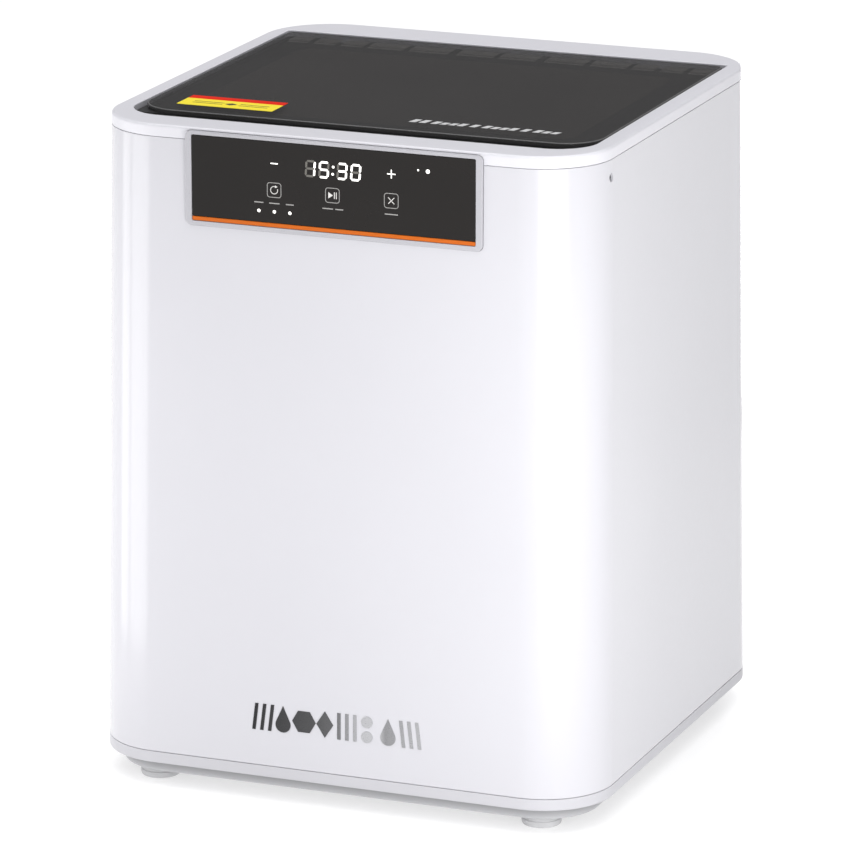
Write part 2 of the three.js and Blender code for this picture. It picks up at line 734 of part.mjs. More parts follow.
function washBucket() {
  const ring = (grow) => centredOutline(BUCKET_HALF_X + grow, BUCKET_HALF_Y + grow, BUCKET_CORNER + grow);
  const outer = prism(ring(0), [BUCKET_BOTTOM_Z, BUCKET_TOP_Z]);
  const flange = prism(ring(BUCKET_FLANGE), [BUCKET_TOP_Z - 4, BUCKET_TOP_Z]);
  const grips = [-1, 1].map((side) => prism(
    outline(about(side * (BUCKET_HALF_X + 6), 11), about(AXIS_Y, 42), 8, 8, 3),
    [BUCKET_TOP_Z - 4, BUCKET_TOP_Z],
  ));
  const inner = prism(ring(-BUCKET_WALL), [BUCKET_FLOOR_Z, BUCKET_TOP_Z + 1]);
  const fingerHoles = [-1, 1].map((side) => prism(
    outline(about(side * (BUCKET_HALF_X + 9), 4), about(AXIS_Y, 34), 3.5, 3.5, 2),
    [BUCKET_TOP_Z - 8, BUCKET_TOP_Z + 1],
  ));
  const spigot = rodZ(0, AXIS_Y, [BUCKET_FLOOR_Z - 1, 176], SPIGOT_RADIUS, 16);
  return join(cut(join(outer, flange, ...grips), inner, ...fingerHoles), spigot);
}

function basketSlots() {
  const rows = [[194, 256], [264, 326]];
  const across = [-80, -48, -16, 16, 48, 80];
  const along = [-60, -30, 0, 30, 60];
  const frontAndBack = rows.flatMap((z) => across.map((x) => box(about(x, 12), about(AXIS_Y, 130), z)));
  const sides = rows.flatMap((z) => along.map((y) => box(about(0, 150), about(AXIS_Y + y, 11), z)));
  const floor = across.map((x) => box(about(x, 12), about(AXIS_Y, 84), [170, 190]));
  return [...frontAndBack, ...sides, ...floor];
}

function washBasket() {
  const ring = (grow) => centredOutline(BASKET_HALF_X + grow, BASKET_HALF_Y + grow, BASKET_CORNER + grow);
  const outer = prism(ring(0), [BASKET_BOTTOM_Z, BASKET_TOP_Z]);
  const flange = prism(ring(BASKET_FLANGE), [BASKET_TOP_Z - 4, BASKET_TOP_Z]);
  const inner = prism(ring(-BASKET_WALL), [BASKET_BOTTOM_Z + 3, BASKET_TOP_Z + 1]);
  const legs = grid([-104, 104], [-90, 90])
    .map(([x, dy]) => box(about(x, 5), about(AXIS_Y + dy, 5), [BUCKET_FLOOR_Z + 0.4, BASKET_BOTTOM_Z + 1]));
  const lugs = [-1, 1]
    .map((side) => box(about(side * 115.2, 1.8), about(AXIS_Y, 6), [BASKET_TOP_Z - 1, HANDLE_Z + 5]));
  const bores = [-1, 1].map((side) => rodX(about(side * 115, 6), AXIS_Y, HANDLE_Z, 2.3, 12));
  return cut(join(cut(join(outer, flange), inner, ...basketSlots()), ...legs, ...lugs), ...bores);
}

function basketHandle() {
  const [x, y, bend] = [HANDLE_HALF_X, AXIS_Y - HANDLE_REACH, HANDLE_BEND];
  const point = (px, py) => new THREE.Vector3(px, py, HANDLE_Z);
  const path = new THREE.CurvePath();
  path.add(new THREE.LineCurve3(point(x, AXIS_Y + 4), point(x, y + bend)));
  path.add(new THREE.QuadraticBezierCurve3(point(x, y + bend), point(x, y), point(x - bend, y)));
  path.add(new THREE.LineCurve3(point(x - bend, y), point(bend - x, y)));
  path.add(new THREE.QuadraticBezierCurve3(point(bend - x, y), point(-x, y), point(-x, y + bend)));
  path.add(new THREE.LineCurve3(point(-x, y + bend), point(-x, AXIS_Y + 4)));
  const section = new THREE.Shape().absarc(0, 0, HANDLE_RADIUS, 0, 2 * Math.PI, false);
  const bail = new THREE.ExtrudeGeometry(section, {
    steps: 28,
    curveSegments: 4,
    bevelEnabled: false,
    extrudePath: path,
  });
  const pins = [-1, 1].map((side) => rodX(about(side * 113.5, 4.5), AXIS_Y, HANDLE_Z, 1.9, 12));
  return join(bail, ...pins);
}

function handleGrip() {
  const y = AXIS_Y - HANDLE_REACH;
  const grip = rodX(about(0, GRIP_HALF), y, HANDLE_Z, GRIP_RADIUS);
  return cut(grip, rodX(about(0, GRIP_HALF + 2), y, HANDLE_Z, HANDLE_RADIUS + 0.5));
}

add("wash_bucket", washBucket(), BUCKET_CLEAR);
add("wash_basket", washBasket(), BASKET_GREY);
add("basket_handle", basketHandle(), STEEL);
add("handle_grip", handleGrip(), BLACK_PLASTIC);

// ---------------------------------------------------------------- drive

function impeller() {
  const disc = rodZ(0, AXIS_Y, IMPELLER_Z, IMPELLER_RADIUS, 32);
  const hub = rodZ(0, AXIS_Y, [IMPELLER_Z[0], IMPELLER_Z[1] + 11], 11);
  const blades = [0, 1, 2].map((k) => new THREE.BoxGeometry(2 * IMPELLER_RADIUS - 4, 3.4, 9)
    .translate(0, 0, IMPELLER_Z[1] + 4)
    .rotateZ((k * Math.PI) / 3)
    .translate(0, AXIS_Y, 0));
  return cut(join(disc, hub, ...blades), rodZ(0, AXIS_Y, [150, 180], SPIGOT_RADIUS + 0.6, 16));
}

function magnetPlaces() {
  return [0, 1, 2, 3].map((k) => [
    MAGNET_REACH * Math.cos((k * Math.PI) / 2),
    AXIS_Y + MAGNET_REACH * Math.sin((k * Math.PI) / 2),
  ]);
}

function magnetRotor() {
  const disc = rodZ(0, AXIS_Y, ROTOR_Z, ROTOR_RADIUS, 32);
  const hub = rodZ(0, AXIS_Y, [124, ROTOR_Z[0] + 1], 9);
  const bore = rodZ(0, AXIS_Y, [120, 140], SHAFT_RADIUS + GAP, 16);
  const pockets = magnetPlaces()
    .map(([x, y]) => rodZ(x, y, [ROTOR_Z[1] - 6, ROTOR_Z[1] + 1], ROTOR_MAGNET_RADIUS + GAP, 16));
  return cut(join(disc, hub), bore, ...pockets);
}

function driveMotor() {
  const can = turned(0, AXIS_Y, [
    [0, MOTOR_Z[0]],
    [MOTOR_RADIUS - 2, MOTOR_Z[0]],
    [MOTOR_RADIUS, MOTOR_Z[0] + 2],
    [MOTOR_RADIUS, MOTOR_Z[1]],
    [7.5, MOTOR_Z[1]],
    [7.5, MOTOR_Z[1] + 3.5],
    [0, MOTOR_Z[1] + 3.5],
  ]);
  return cut(can, rodZ(0, AXIS_Y, [98, 120], SHAFT_RADIUS + 0.4, 16));
}

function motorBracket() {
  const plate = box(about(0, 55), about(AXIS_Y, 46), BRACKET_Z);
  const legs = grid([-49, 49], [-40, 40])
    .map(([x, dy]) => box(about(x, 6), about(AXIS_Y + dy, 6), [PAN_FLOOR_Z + GAP, BRACKET_Z[0] + 1]));
  return cut(join(plate, ...legs), rodZ(0, AXIS_Y, [110, 120], BEARING_RADIUS + GAP));
}

function shaftBearing() {
  const height = [BRACKET_Z[0] + GAP, BRACKET_Z[1] + 1];
  return cut(rodZ(0, AXIS_Y, height, BEARING_RADIUS), rodZ(0, AXIS_Y, [110, 120], SHAFT_RADIUS + GAP, 16));
}

add("impeller", impeller(), BLACK_PLASTIC);
add("magnet_rotor", magnetRotor(), BLACK_PLASTIC);
magnetPlaces().forEach(([x, y], k) => {
  const puck = rodZ(x, y, [ROTOR_Z[1] - 5.6, ROTOR_Z[1] - 0.2], ROTOR_MAGNET_RADIUS, 16);
  add(`rotor_magnet_${k + 1}`, puck, MAGNET);
});
add("motor_shaft", rodZ(0, AXIS_Y, [100, 139], SHAFT_RADIUS, 16), STEEL);
add("drive_motor", driveMotor(), STEEL);
add("motor_bracket", motorBracket(), STEEL);
add("shaft_bearing", shaftBearing(), MAGNET);

// ---------------------------------------------------------------- electronics

function mainBoard() {
  const board = box(MAIN_BOARD_X, MAIN_BOARD_Y, MAIN_BOARD_Z);
  const upTo = (height) => [MAIN_BOARD_Z[1] - 0.5, MAIN_BOARD_Z[1] + height];
  const part = (x, y, height) => box(x, y, upTo(height));
  const capacitor = (x, height, radius) => rodZ(x, 35, upTo(height), radius, 16);
  const relay = part([-150, -126], [-80, -50], 16.5);
  const fuse = part([-118, -104], [-86, -60], 8.5);
  const choke = part([-95, -70], [-85, -60], 11.5);
  const processor = part([-150, -110], [-30, 10], 2.5);
  const heatSink = part([-100, -66], [-40, 0], 19.5);
  const connectors = part([-148, -72], [58, 74], 9.5);
  const capacitors = [capacitor(-140, 20.5, 9), capacitor(-116, 20.5, 9), capacitor(-92, 12.5, 6)];
  return join(board, relay, fuse, choke, processor, heatSink, connectors, ...capacitors);
}

function powerSupply() {
  const [x0, x1] = SUPPLY_X;
  const [y0, y1] = SUPPLY_Y;
  const [z0, z1] = SUPPLY_Z;
  const feet = grid([x0 + 8, x1 - 8], [y0 + 10, y1 - 10])
    .map(([x, y]) => rodZ(x, y, [PAN_FLOOR_Z + GAP, z0 + 1], 4, 12));
  const terminalStep = box([x0 - 6, x1 + 10], [y0 - 0.5, y0 + 24], [z0 + 15, z1 + 8]);
  const caseBody = cut(box(SUPPLY_X, SUPPLY_Y, SUPPLY_Z), terminalStep);
  const wireSlots = [0, 1, 2, 3, 4]
    .map((k) => box(about(x0 + 15 + 16 * k, 5), [y0, y0 + 16], [z0 + 18, z0 + 30]));
  const terminals = cut(box([x0 + 6, x1 - 6], [y0 + 6, y0 + 22], [z0 + 14, z0 + 25]), ...wireSlots);
  return join(caseBody, terminals, ...feet);
}

function fanFrame() {
  const half = FAN_SIZE / 2;
  const block = uprightPlate(about(FAN_X, half), FAN_Y, about(FAN_Z, half), 5);
  const ring = cut(block, rodY(FAN_X, [FAN_Y[0] - 1, FAN_Y[1] + 1], FAN_Z, 37.5, 32));
  const struts = [0, 1].map((k) => new THREE.BoxGeometry(76, 3, 4)
    .rotateY(Math.PI / 4 + (k * Math.PI) / 2)
    .translate(FAN_X, FAN_Y[0] + 1.5, FAN_Z));
  const seat = rodY(FAN_X, [FAN_Y[0], FAN_Y[0] + 3], FAN_Z, 17, 24);
  const stub = rodY(FAN_X, [FAN_Y[0] + 1, FAN_Y[0] + 12], FAN_Z, 2.5, 12);
  return join(ring, ...struts, seat, stub);
}

function fanRotor() {
  const span = [FAN_Y[0] + 4, FAN_Y[1] - 2];
  const hub = rodY(FAN_X, span, FAN_Z, 17, 24);
  const blades = [0, 1, 2, 3, 4, 5, 6].map((k) => new THREE.BoxGeometry(2, 20, 21)
    .rotateZ(0.7)
    .translate(0, 0, 25)
    .rotateY((k * 2 * Math.PI) / 7)
    .translate(FAN_X, (span[0] + span[1]) / 2, FAN_Z));
  return cut(join(hub, ...blades), rodY(FAN_X, [FAN_Y[0], FAN_Y[0] + 14], FAN_Z, 3, 12));
}

const INLET_DEPTH = 12;

function powerInlet() {
  const face = rearPanelFace(SOCKET_Z - 13) + GAP;
  const flange = uprightPlate(about(INLET_X, 17), [face, face + 2.2], about(SOCKET_Z, 13), 3);
  const body = box(about(INLET_X, INLET_HALF[0]), [face - 22, face + 1], about(SOCKET_Z, INLET_HALF[1]));
  const hollow = box(about(INLET_X, 12), [face - INLET_DEPTH, face + 5], about(SOCKET_Z, 8.2));
  return cut(join(flange, body), hollow);
}

// The three contacts stand on a thin block at the bottom of the inlet's hollow
function inletContacts() {
  const bottom = rearPanelFace(SOCKET_Z - 13) + GAP - INLET_DEPTH + GAP;
  const block = box(about(INLET_X, 10), [bottom, bottom + 1.2], about(SOCKET_Z, 6.5));
  const pins = [[-7, -2], [0, 3], [7, -2]].map(([dx, dz]) => box(
    about(INLET_X + dx, 1),
    [bottom + 1, bottom + 10],
    about(SOCKET_Z + dz, 2),
  ));
  return join(block, ...pins);
}

function switchHousing() {
  const face = rearPanelFace(SOCKET_Z - 13) + GAP;
  const flange = uprightPlate(about(SWITCH_X, 8.5), [face, face + 1.8], about(SOCKET_Z, 11.5), 1.5);
  const body = box(about(SWITCH_X, SWITCH_HALF[0]), [face - 18, face + 1], about(SOCKET_Z, SWITCH_HALF[1]));
  const hollow = box(about(SWITCH_X, 5.3), [face - 12, face + 5], about(SOCKET_Z, 8.8));
  const bores = rodX(about(SWITCH_X, 6), ROCKER_PIVOT_Y, SOCKET_Z, 1.4, 12);
  return cut(join(flange, body), hollow, bores);
}

function powerRocker() {
  const key = box(about(SWITCH_X, 5), [-3, 4.5], [-7.6, 7.6]);
  const dish = rodX(about(SWITCH_X, 6), 26, 0, 22.2, 48);
  const studs = rodX(about(SWITCH_X, 5.6), 0, 0, 1.1, 12);
  return join(cut(key, dish), studs)
    .rotateX(THREE.MathUtils.degToRad(-ROCKER_TILT))
    .translate(0, ROCKER_PIVOT_Y, SOCKET_Z);
}

add("main_board", mainBoard(), BOARD_GREEN);
add("power_supply", powerSupply(), STEEL);
add("fan_frame", fanFrame(), BLACK_PLASTIC);
add("fan_rotor", fanRotor(), BLACK_PLASTIC);
add("power_inlet", powerInlet(), BLACK_PLASTIC);
add("inlet_contacts", inletContacts(), STEEL);
add("switch_housing", switchHousing(), BLACK_PLASTIC);
add("power_rocker", powerRocker(), BLACK_PLASTIC);

export default station;
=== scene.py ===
"""Looks of a resin wash station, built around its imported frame.

Sizes are in millimetres until a mesh is made, and MM turns them into metres.
X is to the right, Y is to the back and Z is up, from the middle of the feet's plane.
"""

import json
from math import cos, pi, radians, sin, sqrt, tan

import bmesh
import bpy
from mathutils import Matrix, Vector


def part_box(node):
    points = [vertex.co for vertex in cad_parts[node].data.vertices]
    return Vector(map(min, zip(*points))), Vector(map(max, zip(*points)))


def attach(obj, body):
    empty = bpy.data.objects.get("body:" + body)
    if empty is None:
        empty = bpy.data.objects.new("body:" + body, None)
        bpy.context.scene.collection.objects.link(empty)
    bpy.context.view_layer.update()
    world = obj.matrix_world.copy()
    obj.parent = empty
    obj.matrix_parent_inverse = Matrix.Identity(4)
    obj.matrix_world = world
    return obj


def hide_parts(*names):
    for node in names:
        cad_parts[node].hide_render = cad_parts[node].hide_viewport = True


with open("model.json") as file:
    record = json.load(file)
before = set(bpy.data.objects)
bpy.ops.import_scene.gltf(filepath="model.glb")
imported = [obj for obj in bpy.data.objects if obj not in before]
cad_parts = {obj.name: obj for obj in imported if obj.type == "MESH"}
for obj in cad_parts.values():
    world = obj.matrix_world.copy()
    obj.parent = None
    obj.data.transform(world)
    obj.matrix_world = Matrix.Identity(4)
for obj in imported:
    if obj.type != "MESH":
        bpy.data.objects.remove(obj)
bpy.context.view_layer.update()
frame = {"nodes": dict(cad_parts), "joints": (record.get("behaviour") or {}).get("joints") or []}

MM = 0.001


def span(node, axis):
    """Lowest and highest coordinate of a CAD node along an axis, in millimetres."""
    low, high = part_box(node)
    return low[axis] / MM, high[axis] / MM


def about(middle, half):
    """Both ends of a stretch, from its middle."""
    return middle - half, middle + half


# ---- sizes, from the frame

SHELL_X = span("body_shell", 0)[1]
SHELL_Y = span("body_shell", 1)[1]
SHELL_BOTTOM, SHELL_TOP = span("body_shell", 2)
RIM_X = span("top_rim", 0)[1]
RIM_BOTTOM = SHELL_TOP + 0.25
RIM_TOP = span("top_rim", 2)[1]
LEAN = SHELL_X - RIM_X
CORNER = 53
WALL = 3
PANEL_X = span("control_bezel", 0)[1]
PANEL_BOTTOM, PANEL_TOP = span("control_bezel", 2)
GLASS_X = span("control_glass", 0)[1]
GLASS_FRONT = span("control_glass", 1)[0]
LID_X = span("lid_window", 0)[1]
LID_FRONT, LID_BACK = span("lid_window", 1)
LID_BOTTOM, LID_TOP = span("lid_window", 2)
AXIS_Y = sum(span("wash_bucket", 1)) / 2
HINGE_PLACE = next(j for j in frame["joints"] if j["name"] == "lid_hinge")["pos_m"]
HINGE = HINGE_Y, HINGE_Z = HINGE_PLACE[1] / MM, HINGE_PLACE[2] / MM
HINGE_X = sum(span("hinge_pin_right", 0)) / 2

# Well that the lid lies in, and the chamber's mouth
WELL_X, WELL_FRONT, WELL_BACK = 177, -161, 151.5
LEDGE_TOP, LEDGE_BOTTOM = 486.5, 483.5
TROUGH_X, TROUGH_FRONT = 176.3, 139
MOUTH_X, MOUTH_FRONT, MOUTH_BACK, MOUTH_CORNER = 155, -145, 118, 28

SIDES = ("left", -1), ("right", 1)
SIDE_SCREW = (-139.7, 474.1)
LID_MAGNET_Y = -154.5
GAP = 0.3


# ---- materials


OWN_SLOT = {}
MIDDLE = (0.3, 0.7)
ROUGH_SPREAD = 0.04
COAT_ROUGHNESS = 0.1


def fill(node, values):
    """Sets a node's inputs by name."""
    for name, value in values.items():
        node.inputs[name].default_value = value
    return node


class Nodes:
    """A material's node tree, with short ways to add what every finish here uses."""

    def __init__(self, name):
        self.material = bpy.data.materials.new(name)
        OWN_SLOT[self.material.name] = name
        self.material.use_nodes = True
        self.tree = self.material.node_tree
        self.shader = self.tree.nodes["Principled BSDF"]
        self.coordinates = self.add("ShaderNodeTexCoord").outputs["Object"]

    def add(self, kind, values=None):
        return fill(self.tree.nodes.new(kind), values or {})

    def link(self, source, target):
        self.tree.links.new(source, target)

    def noise(self, scale, detail, stretch=(1, 1, 1)):
        mapping = self.add("ShaderNodeMapping", {"Scale": stretch})
        self.link(self.coordinates, mapping.inputs["Vector"])
        noise = self.add("ShaderNodeTexNoise", {"Scale": scale, "Detail": detail})
        self.link(mapping.outputs["Vector"], noise.inputs["Vector"])
        return noise.outputs["Fac"]

    def colours(self, factor, dark, light):
        """A colour that runs between two as the factor's middle range is crossed."""
        ramp = self.add("ShaderNodeValToRGB")
        for stop, where, colour in zip(ramp.color_ramp.elements, MIDDLE, (dark, light)):
            stop.position = where
            stop.color = (*colour, 1)
        self.link(factor, ramp.inputs["Fac"])
        return ramp.outputs["Color"]

    def tint(self, colour, share, cloud, detail):
        """A base colour that drifts a little darker and lighter."""
        drift = self.colours(self.noise(cloud, detail), shade(colour, 1 - share), shade(colour, 1 + share))
        self.link(drift, self.shader.inputs["Base Color"])

    def gloss(self, factor, low, high):
        """Roughness that runs from low to high as the factor's middle range is crossed."""
        ramp = self.add("ShaderNodeMapRange", {"From Min": MIDDLE[0], "From Max": MIDDLE[1],
                                               "To Min": low, "To Max": high})
        self.link(factor, ramp.inputs["Value"])
        self.link(ramp.outputs["Result"], self.shader.inputs["Roughness"])

    def bump(self, factor, strength, depth_mm):
        bump = self.add("ShaderNodeBump", {"Strength": strength, "Distance": depth_mm * MM})
        self.link(factor, bump.inputs["Height"])
        self.link(bump.outputs["Normal"], self.shader.inputs["Normal"])


def shade(colour, share):
    return tuple(min(1.0, c * share) for c in colour)


def finish(name, colour, roughness, metal=0.0, coat=0.0, ior_level=0.5, cloud=8, cloud_share=0.03,
           grain=900, grain_mm=0.02, grain_strength=0.15, stretch=(1, 1, 1), rough_spread=ROUGH_SPREAD,
           own_light=0.0):
    """A moulded, coated or metal finish: slow colour cloud, uneven gloss and a fine grain."""
    n = Nodes(name)
    n.tint(colour, cloud_share, cloud, 3)
    fine = n.noise(grain, 4, stretch)
    n.gloss(fine, roughness - rough_spread, roughness + rough_spread)
    n.bump(fine, grain_strength, grain_mm)
    fill(n.shader, {"Metallic": metal, "Coat Weight": coat, "Coat Roughness": COAT_ROUGHNESS,
                    "Specular IOR Level": ior_level, "Emission Color": (1, 1, 1, 1),
                    "Emission Strength": own_light})
    return n.material


def glow(name, colour, strength):
    """A lit mark seen through glass, a little brighter in places."""
    n = Nodes(name)
    fill(n.shader, {"Base Color": (*shade(colour, 0.6), 1), "Emission Strength": strength})
    n.link(n.colours(n.noise(600, 2), shade(colour, 0.93), colour), n.shader.inputs["Emission Color"])
    return n.material


def graded(name, axis, low, high, stops, roughness, metal=0.0):
    """A finish whose grey runs through stops along X or Z, between two places in millimetres. Its stops are
    painted shade and painted reflections.
    """
    n = Nodes(name)
    split = n.add("ShaderNodeSeparateXYZ")
    n.link(n.coordinates, split.inputs["Vector"])
    place = n.add("ShaderNodeMapRange", {"From Min": low * MM, "From Max": high * MM})
    n.link(split.outputs[axis], place.inputs["Value"])
    ramp = n.add("ShaderNodeValToRGB")
    elements = ramp.color_ramp.elements
    for k, (where, grey) in enumerate(stops):
        stop = elements[k] if k < 2 else elements.new(where)
        stop.position = where
        stop.color = (grey, grey, grey * 1.03, 1)
    n.link(place.outputs["Result"], ramp.inputs["Fac"])
    n.link(ramp.outputs["Color"], n.shader.inputs["Base Color"])
    fine = n.noise(500, 3, (1, 1, 14) if metal else (1, 1, 1))
    n.gloss(fine, roughness - ROUGH_SPREAD, roughness + ROUGH_SPREAD)
    n.bump(fine, 0.1, 0.02)
    n.shader.inputs["Metallic"].default_value = metal
    return n.material


def see_through(name, colour, roughness, clear, ior_level=0.5):
    """A tinted sheet that lets a share of what is behind it show."""
    n = Nodes(name)
    n.tint(colour, 0.05, 9, 2)
    n.gloss(n.noise(700, 2), roughness * 0.8, roughness * 1.2)
    n.shader.inputs["Specular IOR Level"].default_value = ior_level
    mix = n.add("ShaderNodeMixShader", {"Fac": clear})
    n.link(n.shader.outputs["BSDF"], mix.inputs[1])
    n.link(n.add("ShaderNodeBsdfTransparent").outputs["BSDF"], mix.inputs[2])
    n.link(mix.outputs["Shader"], n.tree.nodes["Material Output"].inputs["Surface"])
    return n.material


WHITE = finish("white_gloss", (0.62, 0.615, 0.65), 0.2, coat=0.4, cloud_share=0.008,
               grain=260, grain_mm=0.015, grain_strength=0.04)
RIM = finish("rim_plastic", (0.73, 0.725, 0.765), 0.36, coat=0.1, cloud_share=0.01)
PALE = finish("light_grey_plastic", (0.56, 0.555, 0.585), 0.4, cloud_share=0.015)
BEZEL = finish("bezel_plastic", (0.47, 0.465, 0.495), 0.3, coat=0.2, cloud_share=0.01)
# Painted shade: the skirt's grey is darker at its top, under the flange, and lighter towards the floor
SKIRT_PAINTED_SHADE = graded("skirt_grey", "Z", *span("base_pan", 2),
               [(0, 0.56), (1, 0.19), (0.45, 0.38), (0.8, 0.26)], 0.55)
RUBBER = finish("foot_rubber", (0.58, 0.58, 0.59), 0.75, ior_level=0.3, grain_mm=0.06,
                grain_strength=0.4, cloud_share=0.08)
SMOKED = see_through("smoked_plate", (0.056, 0.054, 0.053), 0.12, 0.48, ior_level=0.18)
# Painted highlight: a lighter grey for the thin line of light on the lid plate's edge
PLATE_EDGE_HIGHLIGHT = finish("plate_edge_highlight", (0.22, 0.22, 0.22), 0.25)
FILM = see_through("window_film", (0.11, 0.090, 0.075), 0.4, 0.1)
LID_BLACK = finish("lid_black", (0.018, 0.018, 0.018), 0.4, ior_level=0.35, cloud_share=0.1,
                   grain_strength=0.05)
PANEL_GLASS = finish("panel_glass", (0.010, 0.008, 0.007), 0.08, ior_level=0.3, cloud_share=0.1,
                     grain_strength=0.0, rough_spread=0.01)
ORANGE = finish("orange_strip", (0.60, 0.125, 0.005), 0.4, ior_level=0.3)
SEAL = finish("seal", (0.02, 0.02, 0.02), 0.8, ior_level=0.3)
RIB = finish("rib_grey", (0.48, 0.46, 0.43), 0.5)
YELLOW = finish("decal", (0.93, 0.77, 0.035), 0.5, ior_level=0.3, grain_strength=0.05)
RED = finish("decal_red", (0.72, 0.018, 0.004), 0.6, ior_level=0.12, grain_strength=0.05)
PRINT_DARK = finish("print_dark", (0.06, 0.05, 0.02), 0.5, grain_strength=0.05)
PRINT_PALE = finish("print_pale", (0.62, 0.62, 0.62), 0.5, grain_strength=0.05)
# Painted reflection: the foil's grey runs from dark to light across X, with a bright band, for the light that
# it mirrors
MARK_PAINTED_REFLECTION = graded("mark_metal", "X", *span("front_mark", 0),
              [(0, 0.04), (1, 0.45), (0.36, 0.09), (0.5, 0.14), (0.56, 0.28), (0.66, 0.5), (0.76, 0.52),
               (0.8, 0.3)], 0.3, metal=1.0)
STEEL = finish("steel", (0.58, 0.58, 0.60), 0.32, metal=1.0, stretch=(1, 1, 12), cloud_share=0.06)
BLACK_STEEL = finish("black_steel", (0.05, 0.05, 0.055), 0.4, metal=0.6)
BLACK = finish("black_plastic", (0.022, 0.022, 0.024), 0.45, grain_mm=0.04, grain_strength=0.3)
GREEN = finish("board_green", (0.015, 0.10, 0.04), 0.4, cloud=60, cloud_share=0.25)
BUCKET = see_through("bucket_plastic", (0.74, 0.79, 0.83), 0.3, 0.18)
BASKET = finish("basket_grey", (0.13, 0.14, 0.15), 0.5, grain_mm=0.04, grain_strength=0.3)
LINER = finish("liner_metal", (0.66, 0.67, 0.69), 0.3, metal=0.85, stretch=(1, 1, 20), grain=400)
COVER = see_through("cover_clear", (0.82, 0.80, 0.92), 0.35, 0.35)
MAGNET = finish("magnet", (0.62, 0.62, 0.64), 0.18, metal=1.0, grain_strength=0.05)
REAR = finish("rear_grey", (0.60, 0.60, 0.64), 0.5, grain=1400, grain_mm=0.05, grain_strength=0.35)
YELLOW_LAMP = finish("lamp_cap", (0.80, 0.68, 0.30), 0.3, coat=0.3)
FLOOR = finish("floor_pale", (0.5, 0.5, 0.5), 0.6, ior_level=0.2, cloud_share=0.002, grain_strength=0.02,
               own_light=0.52)
LIT = glow("display_lit", (1.0, 0.98, 0.94), 1.6)
DIM = glow("display_dim", (0.20, 0.19, 0.17), 0.2)
ICON = glow("display_icons", (0.80, 0.78, 0.76), 0.42)
OUTLINE = glow("display_outlines", (0.40, 0.39, 0.38), 0.35)


# ---- mesh helpers


DOUBLE = 0.002 * MM


def put(name, data):
    """A new object in the scene."""
    obj = bpy.data.objects.new(name, data)
    bpy.context.scene.collection.objects.link(obj)
    return obj


def new_object(name, vertices, faces):
    mesh = bpy.data.meshes.new(name)
    mesh.from_pydata([tuple(c * MM for c in v) for v in vertices], [], faces)
    mesh.validate()
    return put(name, mesh)


def outwards(obj):
    """Merges doubled corners and points every face out."""
    bm = bmesh.new()
    bm.from_mesh(obj.data)
    bmesh.ops.remove_doubles(bm, verts=bm.verts, dist=DOUBLE)
    bmesh.ops.recalc_face_normals(bm, faces=bm.faces)
    bm.to_mesh(obj.data)
    bm.free()
    return obj


def dress(obj, surface, replaces=(), body="root", slot=None, bevel=0.0, angle=32, segments=3):
    """Smooth shading, softened edges, a finish, and the body that the piece rides on.
    The slot is the finish's own unless another one is given."""
    slot = slot or OWN_SLOT[surface.name]
    obj.data.materials.clear()
    obj.data.materials.append(surface)
    for face in obj.data.polygons:
        face.use_smooth = True
    obj.data.set_sharp_from_angle(angle=radians(angle))
    if bevel:
        soften = obj.modifiers.new("edges", "BEVEL")
        soften.width = bevel * MM
        soften.segments = segments
        soften.limit_method = "ANGLE"
        soften.angle_limit = radians(angle)
        soften.use_clamp_overlap = True
        soften.harden_normals = True
    even = obj.modifiers.new("normals", "WEIGHTED_NORMAL")
    even.keep_sharp = True
    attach(obj, body)
    if replaces:
        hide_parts(*replaces)
    return obj


def final_mesh(obj):
    """A new mesh with the shape that an object has after its modifiers."""
    graph = bpy.context.evaluated_depsgraph_get()
    return bpy.data.meshes.new_from_object(obj.evaluated_get(graph), depsgraph=graph)


def combine(obj, others, operation):
    for other in others:
        step = obj.modifiers.new("join", "BOOLEAN")
        step.operation = operation
        step.solver = "EXACT"
        step.object = other
        obj.data = final_mesh(obj)
        obj.modifiers.clear()
        bpy.data.objects.remove(other)
    return obj


def carve(obj, *cutters):
    return combine(obj, cutters, "DIFFERENCE")


def fuse(obj, *others):
    return combine(obj, others, "UNION")


def gather(name, objects):
    """One object that holds several loose solids."""
    bm = bmesh.new()
    for obj in objects:
        bm.from_mesh(obj.data)
        bpy.data.objects.remove(obj)
    mesh = bpy.data.meshes.new(name)
    bm.to_mesh(mesh)
    bm.free()
    return put(name, mesh)


def swing(obj, pivot, degrees, axis):
    """Turns a piece about the origin, then moves the origin to a pivot."""
    place = Matrix.Translation(tuple(c * MM for c in pivot))
    obj.data.transform(place @ Matrix.Rotation(radians(degrees), 4, axis))
    return obj


def slide(obj, reach):
    """Moves every corner along Y by an amount that goes by its height, in millimetres."""
    for vertex in obj.data.vertices:
        vertex.co.y += reach(vertex.co.z / MM) * MM
    return obj


def box(name, x, y, z):
    corners = [(a, b, c) for c in z for b in y for a in x]
    faces = [(0, 2, 3, 1), (4, 5, 7, 6), (0, 1, 5, 4), (2, 6, 7, 3), (0, 4, 6, 2), (1, 3, 7, 5)]
    return new_object(name, corners, faces)


def outline(x, y, front, back=None, steps=16):
    """Corners of a rectangle with round corners, from the front right round to the front left."""
    back = front if back is None else back
    centres = [(x[1] - front, y[0] + front, front, -90), (x[1] - back, y[1] - back, back, 0),
               (x[0] + back, y[1] - back, back, 90), (x[0] + front, y[0] + front, front, 180)]
    points = []
    for cx, cy, radius, start in centres:
        for i in range(steps + 1):
            a = radians(start + 90 * i / steps)
            points.append((cx + radius * cos(a), cy + radius * sin(a)))
    return points


